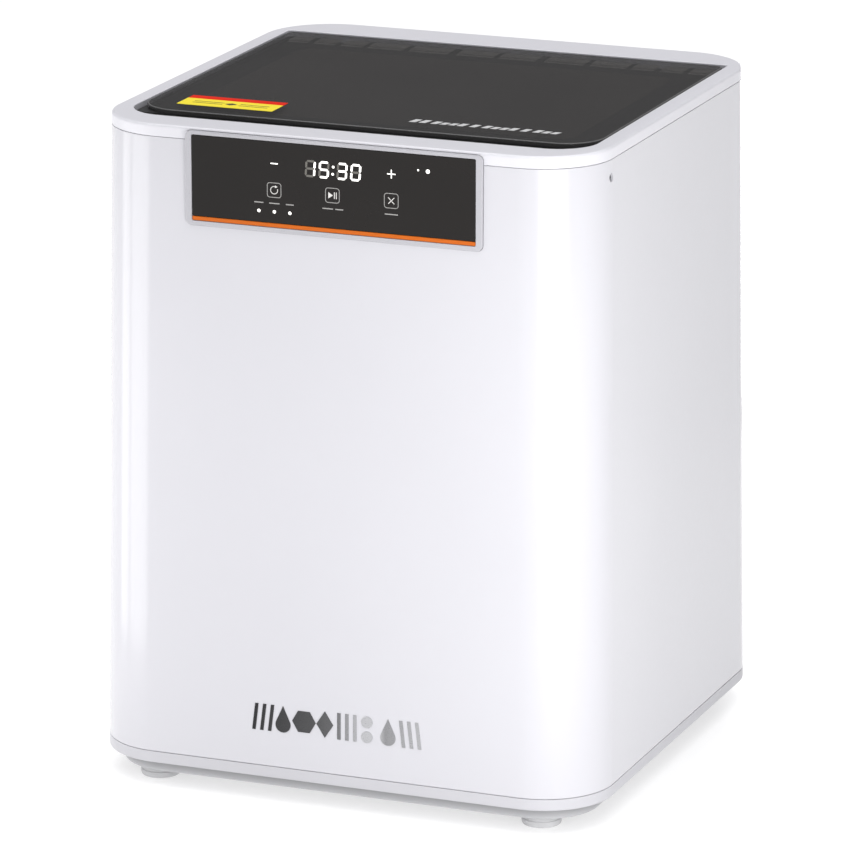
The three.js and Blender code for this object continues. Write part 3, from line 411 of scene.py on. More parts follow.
def loft(name, rings, looped=False, axis="z"):
    """A skin through rings of equal length. A looped one closes on itself, any other has end faces."""
    count = len(rings[0][0])
    places = {"z": lambda u, v, w: (u, v, w), "y": lambda u, v, w: (u, w, v), "x": lambda u, v, w: (w, u, v)}
    vertices = [places[axis](u, v, w) for points, w in rings for u, v in points]
    faces = []
    levels = len(rings) if looped else len(rings) - 1
    for level in range(levels):
        a0 = level * count
        b0 = (level + 1) % len(rings) * count
        for i in range(count):
            j = (i + 1) % count
            faces.append((a0 + i, a0 + j, b0 + j, b0 + i))
    if not looped:
        faces.append(tuple(reversed(range(count))))
        faces.append(tuple(range((len(rings) - 1) * count, len(rings) * count)))
    return outwards(new_object(name, vertices, faces))


def rounded(path, looped=False, steps=5):
    """A path of (inset, height, radius) corners, with each corner turned into an arc."""
    points = []
    for i, (u, v, radius) in enumerate(path):
        at_end = not looped and i in (0, len(path) - 1)
        if at_end or radius == 0:
            points.append((u, v))
            continue
        here = Vector((u, v))
        before = Vector(path[i - 1][:2]) - here
        after = Vector(path[(i + 1) % len(path)][:2]) - here
        turn = before.angle(after)
        reach = min(radius / tan(turn / 2), before.length * 0.49, after.length * 0.49)
        start = here + before.normalized() * reach
        end = here + after.normalized() * reach
        for k in range(steps + 1):
            t = k / steps
            point = start.lerp(here, t).lerp(here.lerp(end, t), t)
            points.append((point.x, point.y))
    return points


def casing(inset, z, steps=20):
    """The casing's outline at a height, set in from its leaning outer face."""
    lean = LEAN * (z - SHELL_BOTTOM) / (SHELL_TOP - SHELL_BOTTOM)
    x, y = SHELL_X - lean - inset, SHELL_Y - lean - inset
    return outline((-x, x), (-y, y), CORNER - inset, steps=steps)


def front_face(z):
    """Y of the casing's front face at a height."""
    return -(SHELL_Y - LEAN * (z - SHELL_BOTTOM) / (SHELL_TOP - SHELL_BOTTOM))


def plate(name, x, y, z, corner, ease=0.4, steps=6):
    """An upright plate with round corners in X and Z, and eased front edges."""
    rings = [(outline((x[0] + i, x[1] - i), (z[0] + i, z[1] - i), max(corner - i, 0.05), steps=steps), w)
             for i, w in ((ease, y[0]), (ease * 0.3, y[0] + ease * 0.3), (0, y[0] + ease), (0, y[1]))]
    return loft(name, rings, axis="y")


def circle(centre, radius, sides):
    """Corners of a circle or of a regular shape."""
    return [(centre[0] + radius * cos(2 * pi * k / sides), centre[1] + radius * sin(2 * pi * k / sides))
            for k in range(sides)]


def lathe(name, centre, profile, axis="z", sides=64, looped=False):
    """A round solid from (radius, place) points along an axis."""
    return loft(name, [(circle(centre, radius, sides), place) for radius, place in profile], looped, axis)


def rod(name, centre, radius, along, axis="z", ease=0.3, sides=48):
    low, high = along
    return lathe(name, centre, [(radius - ease, low), (radius, low + ease), (radius, high - ease),
                                (radius - ease, high)], axis, sides)


def prism(name, points, along, axis="z"):
    return loft(name, [(points, along[0]), (points, along[1])], axis=axis)


def pocket(x, y, corner, along, axis="z", steps=6):
    """A cutter with round corners."""
    return prism("cut", outline(x, y, corner, steps=steps), along, axis)


def skin(name, ring, path, looped=False):
    """A skin through rings that are set in or out, at the heights of a path."""
    return loft(name, [(ring(u), z) for u, z in path], looped)


# ---- casing and base


def panel_cut(y):
    """The opening that the control panel sits in, through the casing and the rim."""
    return pocket(about(0, PANEL_X + GAP), (PANEL_BOTTOM - GAP, PANEL_TOP + GAP), 4.8, y, "y", 8)


def make_shell():
    path = rounded([(0, SHELL_BOTTOM, 0.6), (0, SHELL_TOP, 0.6), (WALL, SHELL_TOP, 0.6),
                    (WALL, SHELL_BOTTOM, 0.6)], looped=True, steps=3)
    shell = loft("casing_wrap", [(casing(u, z, 28), z) for u, z in path], looped=True)
    carve(shell, panel_cut((-220, -150)), pocket((-136, 136), (60, 430), 6, (150, 220), "y", 8),
          rod("cut", SIDE_SCREW, 3.25, (170, 210), axis="x"))
    dress(shell, WHITE, ["body_shell"], bevel=0.35)


def make_base():
    def ring(inset):
        return casing(inset, SHELL_BOTTOM)

    flange = rounded([(0, 26.85, 0.6), (14, 26.85, 0.3), (14, 18.2, 0.3), (0, 18.2, 1.4)], looped=True)
    dress(skin("flange_band", ring, flange, looped=True), PALE, ["base_flange"])
    inset = SHELL_X - span("base_pan", 0)[1]
    low, high = span("base_pan", 2)[0], 17.9
    pan = rounded([(inset + 20, low, 0), (inset, low, 2.5), (inset, high, 0.6), (inset + WALL, high, 0.6),
                   (inset + WALL, low + 3, 1), (inset + 20, low + 3, 0)])
    # The tray's finish carries painted shade under the flange
    dress(skin("base_tray", ring, pan), SKIRT_PAINTED_SHADE, ["base_pan"])
    for end in ("front", "rear"):
        for side in ("left", "right"):
            make_foot(f"foot_{end}_{side}")


def make_foot(node):
    low, high = span(node, 0)
    x, y = (low + high) / 2, sum(span(node, 1)) / 2
    radius = (high - low) / 2
    top = span(node, 2)[1]
    path = rounded([(0.4, 1.0, 0), (5.0, 1.0, 0.3), (5.6, 0, 0.3), (radius - 0.6, 0, 0.9),
                    (radius, 1.8, 0.6), (radius, 4.2, 0.3), (radius - 0.9, 4.7, 0.2),
                    (radius - 0.9, 5.4, 0.2), (radius - 0.3, 5.8, 0.3), (radius - 0.6, top, 0.3),
                    (0.4, top, 0)], steps=4)
    pad = lathe(node.replace("foot", "rubber_foot"), (x, y), path)
    dress(pad, RUBBER, [node])


def well(grow):
    return outline((-WELL_X - grow, WELL_X + grow), (WELL_FRONT - grow, WELL_BACK + grow),
                   30 + grow, 2.5 + grow, 20)


def mouth(grow):
    """The chamber's mouth, whose corners keep a radius of 6 however far it is set in."""
    return outline((-MOUTH_X - grow, MOUTH_X + grow), (MOUTH_FRONT - grow, MOUTH_BACK + grow),
                   max(MOUTH_CORNER + grow, 6), steps=20)


def run(ring, path, steps=5):
    """Rings along a path of corners, without its two ends."""
    return [(ring(u), z) for u, z in rounded(path, steps=steps)[1:-1]]


def make_rim():
    def outer(inset):
        return casing(inset, SHELL_TOP)

    skirt = run(outer, [(4, RIM_BOTTOM, 0), (0, RIM_BOTTOM, 0.5), (0, RIM_TOP, 3), (5, RIM_TOP, 0)], 7)
    inner = run(well, [(4, RIM_TOP, 0), (0, RIM_TOP, 0.9), (0, LEDGE_TOP, 0.9), (-4, LEDGE_TOP, 0)])
    ledge = run(mouth, [(4, LEDGE_TOP, 0), (0, LEDGE_TOP, 0.7), (0, LEDGE_BOTTOM, 0.3), (4, LEDGE_BOTTOM, 0)])
    under = [(well(3), LEDGE_BOTTOM), (well(3), RIM_TOP - 3)]
    back = [(outer(WALL), RIM_TOP - 3), (outer(WALL), RIM_BOTTOM)]
    rim = loft("rim_ring", skirt + inner + ledge + under + back, looped=True)
    carve(rim, box("cut", (-TROUGH_X, TROUGH_X), (TROUGH_FRONT, WELL_BACK - 0.01), (478, LEDGE_TOP + 0.5)),
          panel_cut((-220, -186.8)))
    dress(rim, RIM, ["top_rim"], bevel=0.25)
    tray = box("hinge_trough", (-TROUGH_X - 3, TROUGH_X + 3), (136, 154.5), (479.5, LEDGE_BOTTOM))
    carve(tray, box("cut", (-TROUGH_X, TROUGH_X), (TROUGH_FRONT, WELL_BACK), (482.5, 490)))
    dress(tray, RIM, bevel=0.4)
    for side, sign in SIDES:
        x = about(sign * HINGE_X, 8.6)
        lug = box(f"hinge_lug_{side}", x, (HINGE_Y - 2.5, HINGE_Y + 1.3), (482.6, HINGE_Z))
        fuse(lug, rod("head", HINGE, 2.5, x, axis="x", ease=0.2))
        carve(lug, rod("cut", HINGE, 1.75, (x[0] - 2, x[1] + 2), axis="x"))
        dress(lug, RIM, bevel=0.25)


make_shell()
make_base()
make_rim()


# ---- lid

LID_FRAME_BOTTOM, LID_FRAME_TOP = 489.3, 492.2
LID_LIP = span("lid_frame", 1)[0]
RIB_PLACES = [(17, 15), (54.5, 16), (89.5, 14.5), (117, 9), (139.5, 9), (161.5, 8.5)]
RIB_SPANS = [about(sign * middle, half) for middle, half in RIB_PLACES for sign in (-1, 1)]
RIB_FRONT, RIB_BACK = 127.3, 136.7
WINDOW = (-149.7, 149.7), (-115, 112)


def make_lid_plate():
    def ring(inset):
        return outline((inset - LID_X, LID_X - inset), (LID_FRONT + inset, LID_BACK - inset), 30 - inset,
                       max(7 - inset, 3), 20)

    ease = 1.2
    path = rounded([(4, LID_BOTTOM, 0), (0, LID_BOTTOM, 0.3), (0, LID_TOP, ease), (4, LID_TOP, 0)], steps=6)
    dress(skin("smoked_lid", ring, path), SMOKED, ["lid_window"], body="lid")
    # A thin lighter ring along the plate's eased top edge is a painted highlight, for the line of light that
    # the polished edge catches
    arc_points = [(radius, radians(angle)) for radius, angles in
                  ((ease + 0.03, (35, 55, 75, 90)), (ease - 0.3, (90, 35))) for angle in angles]
    line = loft("painted_edge_highlight", [(ring(ease - radius * cos(a)), LID_TOP - ease + radius * sin(a))
                                  for radius, a in arc_points], looped=True)
    dress(line, PLATE_EDGE_HIGHLIGHT, body="lid", slot="smoked_plate")
    film = loft("window_film", [(outline((-149.5, 149.5), (-114.8, 111.8), 13.8, steps=12), z)
                                for z in (LID_FRAME_TOP - 1.0, LID_FRAME_TOP - 0.1)])
    dress(film, FILM, body="lid", slot="smoked_plate")


def make_lid_frame():
    path = rounded([(4, LID_FRAME_BOTTOM, 0), (0, LID_FRAME_BOTTOM, 0.8), (0, LID_FRAME_TOP, 0.2),
                    (4, LID_FRAME_TOP, 0)])
    ring = loft("lid_surround", [(outline((u - LID_X, LID_X - u), (LID_LIP + u, LID_BACK - u), 28.7 - u,
                                          max(7 - u, 3), 20), z) for u, z in path])
    height = (LID_FRAME_BOTTOM - 1, LID_FRAME_TOP + 1)
    holes = [pocket((a - GAP, b + GAP), (RIB_FRONT - GAP, RIB_BACK + GAP), 0.8, height, steps=4)
             for a, b in RIB_SPANS]
    holes += [box("cut", about(sign * HINGE_X, 9.1), (HINGE_Y - 5.5, LID_BACK + 1), height)
              for sign in (-1, 1)]
    carve(ring, pocket(*WINDOW, 14, height, steps=12),
          box("cut", (-200, 200), (-200, LID_FRONT), (LID_FRAME_TOP - 0.5, LID_FRAME_TOP + 1)),
          rod("cut", (0, LID_MAGNET_Y), 4.3, (LID_FRAME_BOTTOM - 1, LID_FRAME_BOTTOM + 1.8)),
          gather("cut", holes))
    knuckles = [rod("knuckle", HINGE, 2.5, about(x, 5.9), axis="x", ease=0.2)
                for sign in (-1, 1) for x in about(sign * HINGE_X, 14.8)]
    fuse(ring, gather("knuckles", knuckles))
    bores = [rod("cut", HINGE, 1.8, about(sign * HINGE_X, 30), axis="x") for sign in (-1, 1)]
    carve(ring, gather("cut", bores))
    dress(ring, LID_BLACK, ["lid_frame"], body="lid", bevel=0.15)


def make_lid_fittings():
    ribs = [prism("rib", outline((a, b), (RIB_FRONT, RIB_BACK), 0.7, steps=4), (488.6, LID_FRAME_TOP - 0.3))
            for a, b in RIB_SPANS]
    bar = box("bar", (-172, 172), (RIB_FRONT, RIB_BACK), (487.6, LID_FRAME_BOTTOM - 0.3))
    dress(gather("rear_ribs", ribs + [bar]), RIB, ["lid_rear_ribs"], body="lid", bevel=0.15)
    patches = [prism("patch", outline((a, b), (RIB_BACK - 4, LID_BACK - 1.7), 0.6, steps=4),
                     (LID_FRAME_TOP, LID_FRAME_TOP + 0.22)) for a, b in RIB_SPANS]
    dress(gather("rear_patches", patches), RIB, body="lid")

    def ring(grow):
        return outline((-161 - grow, 161 + grow), (-151 - grow, 120 + grow), 26 + grow, steps=16)

    section = rounded([(0, 487.1, 0.9), (4.5, 487.1, 0.9), (4.5, 489, 0.2), (0, 489, 0.2)], looped=True)
    dress(skin("lid_seal", ring, section, looped=True), SEAL, ["lid_gasket"], body="lid")
    for side, sign in SIDES:
        pin = rod(f"steel_pin_{side}", HINGE, 1.5, about(sign * HINGE_X, 20), axis="x")
        dress(pin, STEEL, [f"hinge_pin_{side}"], body="lid")
    puck = rod("magnet_puck", (0, LID_MAGNET_Y), 4, span("lid_magnet", 2))
    dress(puck, MAGNET, ["lid_magnet"], body="lid")


def make_lid_prints():
    """A plain label in two colours, and a row of tiles in groups, with no lettering."""
    x, y = span("lid_decal", 0), span("lid_decal", 1)
    base = LID_TOP + 0.02
    split = y[1] - 9.5
    label = prism("label", outline(x, (y[0], split), 0.8, 0.1, steps=4), (base, base + 0.12))
    dress(label, YELLOW, ["lid_decal"], body="lid")
    band = prism("label_band", outline(x, (split, y[1]), 0.1, 0.8, steps=4), (base, base + 0.12))
    dress(band, RED, body="lid", slot="orange_strip")
    width, depth = x[1] - x[0], split - y[0]
    ink = (base + 0.12, base + 0.18)
    lines = [box("line", (x[0] + a * width, x[0] + b * width), about(y[0] + c * depth, 0.55), ink)
             for a, b in ((0.12, 0.43), (0.6, 0.9)) for c in (0.62, 0.42)]
    middle = (x[0] + 0.51 * width, y[0] + 0.52 * depth)
    lozenge = [(middle[0] + u, middle[1] + v) for u, v in ((-5, 0), (0, -3.4), (5, 0), (0, 3.4))]
    lines.append(prism("blot", lozenge, ink))
    dress(gather("label_lines", lines), PRINT_DARK, body="lid", slot="lid_black")

    def tile(start, length, depth):
        low, lean = -114.5, 2.2
        return prism("tile", [(start, low), (start + length, low), (start + length + lean, low + depth),
                              (start + lean, low + depth)], (base, base + 0.08))

    tiles = [tile(27, 5, 9.5), tile(34.5, 5, 9.5)]
    start = 43.5
    for group in (4, 1, 4, 1, 3):
        for k in range(group):
            tiles.append(tile(start, 4.8, 6.6 if k % 3 else 8.2))
            start += 6.7
        start += 2.6
    dress(gather("lid_tiles", tiles), PRINT_PALE, body="lid", slot="light_grey_plastic")


# ---- control panel


def make_panel():
    back = span("control_bezel", 1)
    bezel = plate("panel_bezel", (-PANEL_X, PANEL_X), (back[0], -187.1), (PANEL_BOTTOM, PANEL_TOP), 4.5,
                  ease=0.7, steps=10)
    glass_z = span("control_glass", 2)
    strip_z = span("accent_strip", 2)
    seat = pocket(about(0, GLASS_X + GAP), (strip_z[0] - GAP, glass_z[1] + GAP), 1.2,
                  (back[0] - 1, -189.1), "y")
    carve(bezel, seat, box("cut", (-30, 30), (-195, -186), (463, 485)))
    posts = [rod("post", (x, z), 2.5, (-188, -182.9), axis="y", ease=0.2)
             for x in (-100, 100) for z in (438, 483)]
    fuse(bezel, gather("posts", posts))
    dress(bezel, BEZEL, ["control_bezel"], slot="light_grey_plastic", bevel=0.2)
    glass = plate("touch_glass", (-GLASS_X, GLASS_X), (GLASS_FRONT, -189.5), glass_z, 1.0, ease=0.25)
    dress(glass, PANEL_GLASS, ["control_glass"])
    strip = plate("orange_line", (-GLASS_X, GLASS_X), span("accent_strip", 1), strip_z, 0.8, ease=0.4)
    dress(strip, ORANGE, ["accent_strip"])
    module = plate("display_block", span("display_module", 0), span("display_module", 1),
                   span("display_module", 2), 0.8)
    dress(module, BLACK, ["display_module"])


GLYPH_FRONT = GLASS_FRONT - 0.06


def glyph(points):
    """A thin flat shape on the glass, from its corners in X and Z."""
    return prism("glyph", points, (GLYPH_FRONT, GLASS_FRONT + 0.2), axis="y")


def stroke(a, b, width):
    """A thin straight line on the glass between two places in X and Z."""
    a, b = Vector(a), Vector(b)
    side = (b - a).normalized().orthogonal() * (width / 2)
    return glyph([tuple(a - side), tuple(b - side), tuple(b + side), tuple(a + side)])


def arc(centre, radius, start, end, width, steps=20):
    """A thin curved line on the glass, between two angles in degrees."""
    angles = [radians(start + (end - start) * k / steps) for k in range(steps + 1)]
    sides = ((radius + width / 2, angles), (radius - width / 2, reversed(angles)))
    return glyph([(centre[0] + r * cos(a), centre[1] + r * sin(a)) for r, run in sides for a in run])


def disc(centre, radius):
    return glyph(circle(centre, radius, 28))


def frame_ring(centre, half, corner, width):
    """The outline of a touch key."""
    def square(grow):
        return outline((centre[0] - half - grow, centre[0] + half + grow),
                       (centre[1] - half - grow, centre[1] + half + grow), corner + grow, steps=6)
    rings = [(square(0), GLYPH_FRONT), (square(0), GLASS_FRONT + 0.2), (square(-width), GLASS_FRONT + 0.2),
             (square(-width), GLYPH_FRONT)]
    return loft("glyph", rings, looped=True, axis="y")


DIGIT_HALF_X, DIGIT_HALF_Z = 3.2, 5.4
SEGMENT = 1.55
DIGIT_SLANT = 0.07
DISPLAY_Z = 474
SEGMENTS_LIT = {"1": "bc", "5": "afgcd", "3": "abgcd", "0": "abcdef"}


def segment(name, middle):
    """One bar of a seven-segment digit, with pointed ends and a slight slant."""
    w, h, t, gap = DIGIT_HALF_X, DIGIT_HALF_Z, SEGMENT / 2, 0.22
    x, z, upright = {"a": (0, h, False), "g": (0, 0, False), "d": (0, -h, False), "f": (-w, h / 2, True),
                     "b": (w, h / 2, True), "e": (-w, -h / 2, True), "c": (w, -h / 2, True)}[name]
    reach = (h / 2 if upright else w) - gap
    shape = [(-reach, 0), (t - reach, -t), (reach - t, -t), (reach, 0), (reach - t, t), (t - reach, t)]
    if upright:
        shape = [(-v, u) for u, v in shape]
    return glyph([(middle + x + u + DIGIT_SLANT * (z + v), DISPLAY_Z + z + v) for u, v in shape])


def make_display():
    lit, unlit = [], []
    for digit, middle in (("1", -16.8), ("5", -6.4), ("3", 7.4), ("0", 17.8)):
        for name in "abcdefg":
            bars = lit if name in SEGMENTS_LIT[digit] else unlit
            bars.append(segment(name, middle))
    for z in (-2.6, 2.6):
        lit.append(disc((0.5 + DIGIT_SLANT * z, DISPLAY_Z + z), 0.95))
    dress(gather("display_digits", lit), LIT, slot="white_gloss")
    dress(gather("display_unlit", unlit), DIM, slot="panel_glass")
    adjust = [stroke((-47.2, 475.3), (-41.6, 475.3), 0.75), stroke((41.7, 475.3), (47.9, 475.3), 0.75),
              stroke((44.8, 472.2), (44.8, 474.9), 0.75), stroke((44.8, 475.7), (44.8, 478.4), 0.75)]
    lamps = [disc((65, 479.8), 0.7), disc((72.3, 479.4), 1.5)]
    lamps += [disc((x, 440.3), 1.2) for x in (-56.4, -44.5, -32.6)]
    dress(gather("display_lamps", adjust + lamps), LIT, slot="white_gloss")
    make_keys()


def make_keys():
    half, corner, line = 5.5, 2.2, 0.5
    left, middle, right = (-44.6, 456), (0, 456), (44.7, 456)

    def beside(key, *offsets):
        return [(key[0] + u, key[1] + v) for u, v in offsets]

    outlines = [frame_ring(centre, half, corner, line) for centre in (left, middle, right)]
    icons = [arc(left, 2.7, 70, 380, line, 30)]
    tip = (left[0] + 2.7 * cos(radians(70)), left[1] + 2.7 * sin(radians(70)))
    icons.append(glyph(beside(tip, (-0.2, 1.1), (1.7, -0.1), (-0.3, -1.0))))
    icons.append(glyph(beside(middle, (-3.1, -2.3), (0.4, 0), (-3.1, 2.3))))
    icons += [stroke(*beside(middle, (x, -2.4), (x, 2.4)), 0.6) for x in (1.5, 3.0)]
    icons += [stroke(*beside(right, a, b), 0.55) for a, b in
              (((-2.3, -2.3), (2.3, 2.3)), ((-2.3, 2.3), (-0.35, 0.35)), ((0.35, -0.35), (2.3, -2.3)))]
    # Plain dashes where a panel like this has its captions
    captions = [(-56.4, 446.4, 7), (-44.5, 446.4, 8), (-32.6, 446.4, 6), (-3.6, 446.2, 8), (5.2, 446.2, 6),
                (44.7, 446.2, 10)]
    outlines += [stroke((x - length / 2, z), (x + length / 2, z), 0.8) for x, z, length in captions]
    dress(gather("key_outlines", outlines), OUTLINE, slot="light_grey_plastic")
    dress(gather("key_icons", icons), ICON, slot="light_grey_plastic")


# ---- mark on the front wall


def make_front_mark():
    """Eight plain shapes in metal foil, which follow the leaning wall. Their finish has a painted reflection
    running across them.
    """
    x, z = span("front_mark", 0), span("front_mark", 2)
    cell = (x[1] - x[0]) / 8
    height = z[1] - z[0]
    mid = (z[0] + z[1]) / 2
    bar, count = 2.6, 3

    def bars(centre, lean):
        left, step = centre - cell / 2 + 0.5, (cell - 4) / (count - 1)
        starts = [left + 1 + k * step for k in range(count)]
        return [[(a - lean, z[0]), (a + bar - lean, z[0]), (a + bar + lean, z[1]), (a + lean, z[1])]
                for a in starts]

    def disc_pair(centre):
        radius = height * 0.22
        return [circle((centre, level), radius, 28) for level in (z[0] + radius, z[1] - radius)]

    def hexagon(centre):
        return [circle((centre, mid), height * 0.46, 6)]

    def drop(centre):
        radius = cell * 0.36
        lower = [(centre + radius * cos(a), z[0] + radius + radius * sin(a))
                 for a in (radians(-200 + 220 * k / 24) for k in range(25))]
        return [lower + [(centre, z[1])]]

    def lozenge(centre):
        half = cell * 0.4
        return [[(centre, z[0]), (centre + half, mid), (centre, z[1]), (centre - half, mid)]]

    shapes = []
    for k, make in enumerate((lambda a: bars(a, 1.2), drop, hexagon, lozenge, lambda a: bars(a, 0), disc_pair,
                              drop, lambda a: bars(a, -1.2))):
        shapes += make(x[0] + 1 + k * cell + cell / 2 - 0.5)
    foil = gather("front_foil", [prism("shape", s, (-0.33, 0.4), axis="y") for s in shapes])
    dress(slide(foil, front_face), MARK_PAINTED_REFLECTION, ["front_mark"])


make_lid_plate()
make_lid_frame()
make_lid_fittings()
make_lid_prints()
make_panel()
make_display()
make_front_mark()


# ---- rear and side

REAR_SKIN = WALL + 0.3
REAR_SCREW_X = 129
REAR_SCREW_Z = (70, 245, 420)
FAN_X = sum(span("fan_frame", 0)) / 2
FAN_Z = sum(span("fan_frame", 2)) / 2
FAN_FRONT, FAN_BACK = span("fan_frame", 1)
INLET_X = sum(span("power_inlet", 0)) / 2
SWITCH_X = sum(span("switch_housing", 0)) / 2
SOCKET_Z = 75


def follow_rear(obj):
    """Moves a piece built on a flat rear plane at Y = 0 onto the casing's leaning rear face."""
    return slide(obj, lambda z: -front_face(z))


def slot_cutter(x, z, half_x, half_z):
    return pocket(about(x, half_x), about(z, half_z), min(half_x, half_z) * 0.98, (-20, 20), "y")


def make_rear():
    panel = plate("service_panel", (-139.5, 139.5), (-REAR_SKIN - 2, -REAR_SKIN), (50.5, 439.5), 4)
    cutters = [slot_cutter(FAN_X, FAN_Z + 9 * k, sqrt(38 ** 2 - (9 * k) ** 2) - 3, 1.8)
               for k in range(-3, 4)]
    cutters += [slot_cutter(0, 375 + 9 * k, 70, 1.8) for k in range(4)]
    cutters += [rod("cut", (side * REAR_SCREW_X, z), 1.9, (-20, 20), axis="y", sides=24)
                for z in REAR_SCREW_Z for side in (-1, 1)]
    cutters += [box("cut", about(INLET_X, 14.3), (-20, 20), about(SOCKET_Z, 10.3)),
                box("cut", about(SWITCH_X, 6.8), (-20, 20), about(SOCKET_Z, 9.8))]
    carve(panel, gather("cut", cutters))
    dress(follow_rear(panel), REAR, ["rear_panel"], bevel=0.2, segments=2)
    for row, z in enumerate(REAR_SCREW_Z):
        for side, sign in SIDES:
            make_screw(f"panel_screw_{side}_{row + 1}", sign * REAR_SCREW_X, z,
                       f"rear_screw_{side}_{row + 1}")


def make_screw(name, x, z, node):
    """A pan-head screw with a cross recess, its head on the rear."""
    face = span(node, 1)[1] - 1.7
    head = rounded([(1.5, face - 9, 0), (1.5, face, 0), (3.2, face, 0.2), (3.2, face + 1.0, 0.2),
                    (2.0, face + 1.65, 0.6), (0.2, face + 1.7, 0)])
    screw = lathe(name, (x, z), [(0.6, face - 9.9)] + head, axis="y", sides=32)
    recess = [box("cut", about(x, a), (face + 0.7, face + 3), about(z, b))
              for a, b in ((1.7, 0.32), (0.32, 1.7))]
    carve(screw, fuse(*recess))
    dress(screw, STEEL, [node])


def make_side_screw():
    low, high = span("side_screw", 0)
    path = rounded([(0.3, low, 0), (2.4, low, 0.2), (2.85, low + 0.6, 0.2), (2.85, high, 0.4), (0.2, high, 0)])
    screw = lathe("set_screw", SIDE_SCREW, path, axis="x", sides=32)
    carve(screw, prism("cut", circle(SIDE_SCREW, 1.5, 6), about(high, 2), axis="x"))
    dress(screw, BLACK_STEEL, ["side_screw"])


def make_fan():
    middle, through = (FAN_X, FAN_Z), (FAN_FRONT - 1, FAN_BACK + 1)
    body = plate("fan_housing", about(FAN_X, 40), (FAN_FRONT, FAN_BACK), about(FAN_Z, 40), 5, ease=0.8)
    holes = [rod("cut", (FAN_X + a * 35.5, FAN_Z + b * 35.5), 2.2, through, axis="y", sides=20)
             for a in (-1, 1) for b in (-1, 1)]
    carve(body, gather("cut", holes + [rod("cut", middle, 37.5, through, axis="y", sides=72)]))
    struts = [swing(box("strut", (-38, 38), (0, 3), (-2, 2)), (FAN_X, FAN_FRONT, FAN_Z), turn, "Y")
              for turn in (45, 135)]
    fuse(body, fuse(*struts), rod("seat", middle, 17, (FAN_FRONT, FAN_FRONT + 3), axis="y"),
         rod("stub", middle, 2.5, (FAN_FRONT + 1, FAN_FRONT + 12), axis="y"))
    dress(body, BLACK, ["fan_frame"], bevel=0.3)
    low, high = span("fan_rotor", 1)
    path = rounded([(3.1, low, 0), (17, low, 0.5), (17, high, 2), (0.3, high, 0)])
    rotor = lathe("fan_blades", middle, path, axis="y")
    reach = (FAN_BACK - FAN_FRONT) / 2 - 3
    blades = [fan_blade(2 * pi * k / 7, (low + high) / 2, reach) for k in range(7)]
    fuse(rotor, gather("blades", blades))
    carve(rotor, rod("cut", middle, 3, (low - 1, FAN_FRONT + 14), axis="y", sides=24))
    dress(rotor, BLACK, ["fan_rotor"], body="fan")
    sticker = rod("fan_hub_label", middle, 12, (high - 0.2, high + 0.15), axis="y", ease=0.05)
    dress(sticker, REAR, body="fan")


def fan_blade(turn, middle, reach):
    """A swept blade that twists from its root to its tip."""
    rings = []
    for k in range(9):
        radius = 15 + 20.5 * k / 8
        pitch = radians(38 - 10 * k / 8)
        chord = 10 + 3.5 * k / 8
        sweep = turn + 0.28 * (k / 8) ** 1.4
        ring = []
        for side in (0.7, -0.7):
            for step in range(7):
                t = (step / 6 - 0.5) * (1 if side > 0 else -1)
                along = t * chord
                bulge = 1.4 * (0.25 - t * t) + side * (0.55 if abs(t) < 0.5 else 0.15)
                u = along * cos(pitch) - bulge * sin(pitch)
                v = along * sin(pitch) + bulge * cos(pitch)
                angle = sweep + u / radius
                ring.append((FAN_X + radius * cos(angle), middle + max(-reach, min(reach, v)),
                             FAN_Z + radius * sin(angle)))
        rings.append(ring)
    count = len(rings[0])
    faces = [(a + i, a + (i + 1) % count, a + count + (i + 1) % count, a + count + i)
             for a in range(0, 8 * count, count) for i in range(count)]
    faces += [tuple(range(count)), tuple(range(8 * count, 9 * count))]
    return outwards(new_object("blade", [p for ring in rings for p in ring], faces))


def rear_plate(name, x, y, z, corner):
    """An upright plate whose eased edges are at its rear."""
    piece = plate(name, x, y, z, corner)
    piece.data.transform(Matrix.Translation((0, sum(y) * MM, 0)) @ Matrix.Scale(-1, 4, (0, 1, 0)))
    return outwards(piece)


def make_inlet_and_switch():
    y0, y1 = span("power_inlet", 1)
    face = y1 - 2.2
    inlet = rear_plate("inlet_socket", about(INLET_X, 17), (face, y1), about(SOCKET_Z, 13), 3)
    fuse(inlet, box("body", about(INLET_X, 14), (y0, face + 1), about(SOCKET_Z, 10)))
    w, h = 12, 8.2
    socket = [(INLET_X + u, SOCKET_Z + v)
              for u, v in ((-w, h), (-w, -3), (4.5 - w, -h), (w - 4.5, -h), (w, -3), (w, h))]
    carve(inlet, prism("cut", socket, (face - 12, y1 + 3), axis="y"))
    dress(inlet, BLACK, ["power_inlet"], bevel=0.35)
    root, tip = span("inlet_contacts", 1)
    seat = box("inlet_seat", span("inlet_contacts", 0), (root, root + 1.2), span("inlet_contacts", 2))
    dress(seat, BLACK, bevel=0.35)
    pins = [box("pin", about(INLET_X + a, 1), (root + 0.5, tip), about(SOCKET_Z + b, 2))
            for a, b in ((-7, -2), (0, 3), (7, -2))]
    dress(gather("inlet_pins", pins), STEEL, ["inlet_contacts"], bevel=0.35)

    y0, y1 = span("switch_housing", 1)
    face = y1 - 1.8
    housing = rear_plate("switch_frame", about(SWITCH_X, 8.5), (face, y1), about(SOCKET_Z, 11.5), 1.5)
    fuse(housing, box("body", about(SWITCH_X, 6.5), (y0, face + 1), about(SOCKET_Z, 9.5)))
    carve(housing, pocket(about(SWITCH_X, 5.3), about(SOCKET_Z, 8.8), 0.6, (face - 12, y1 + 3), "y", 4))
    dress(housing, BLACK, ["switch_housing"], bevel=0.25)
    make_rocker()


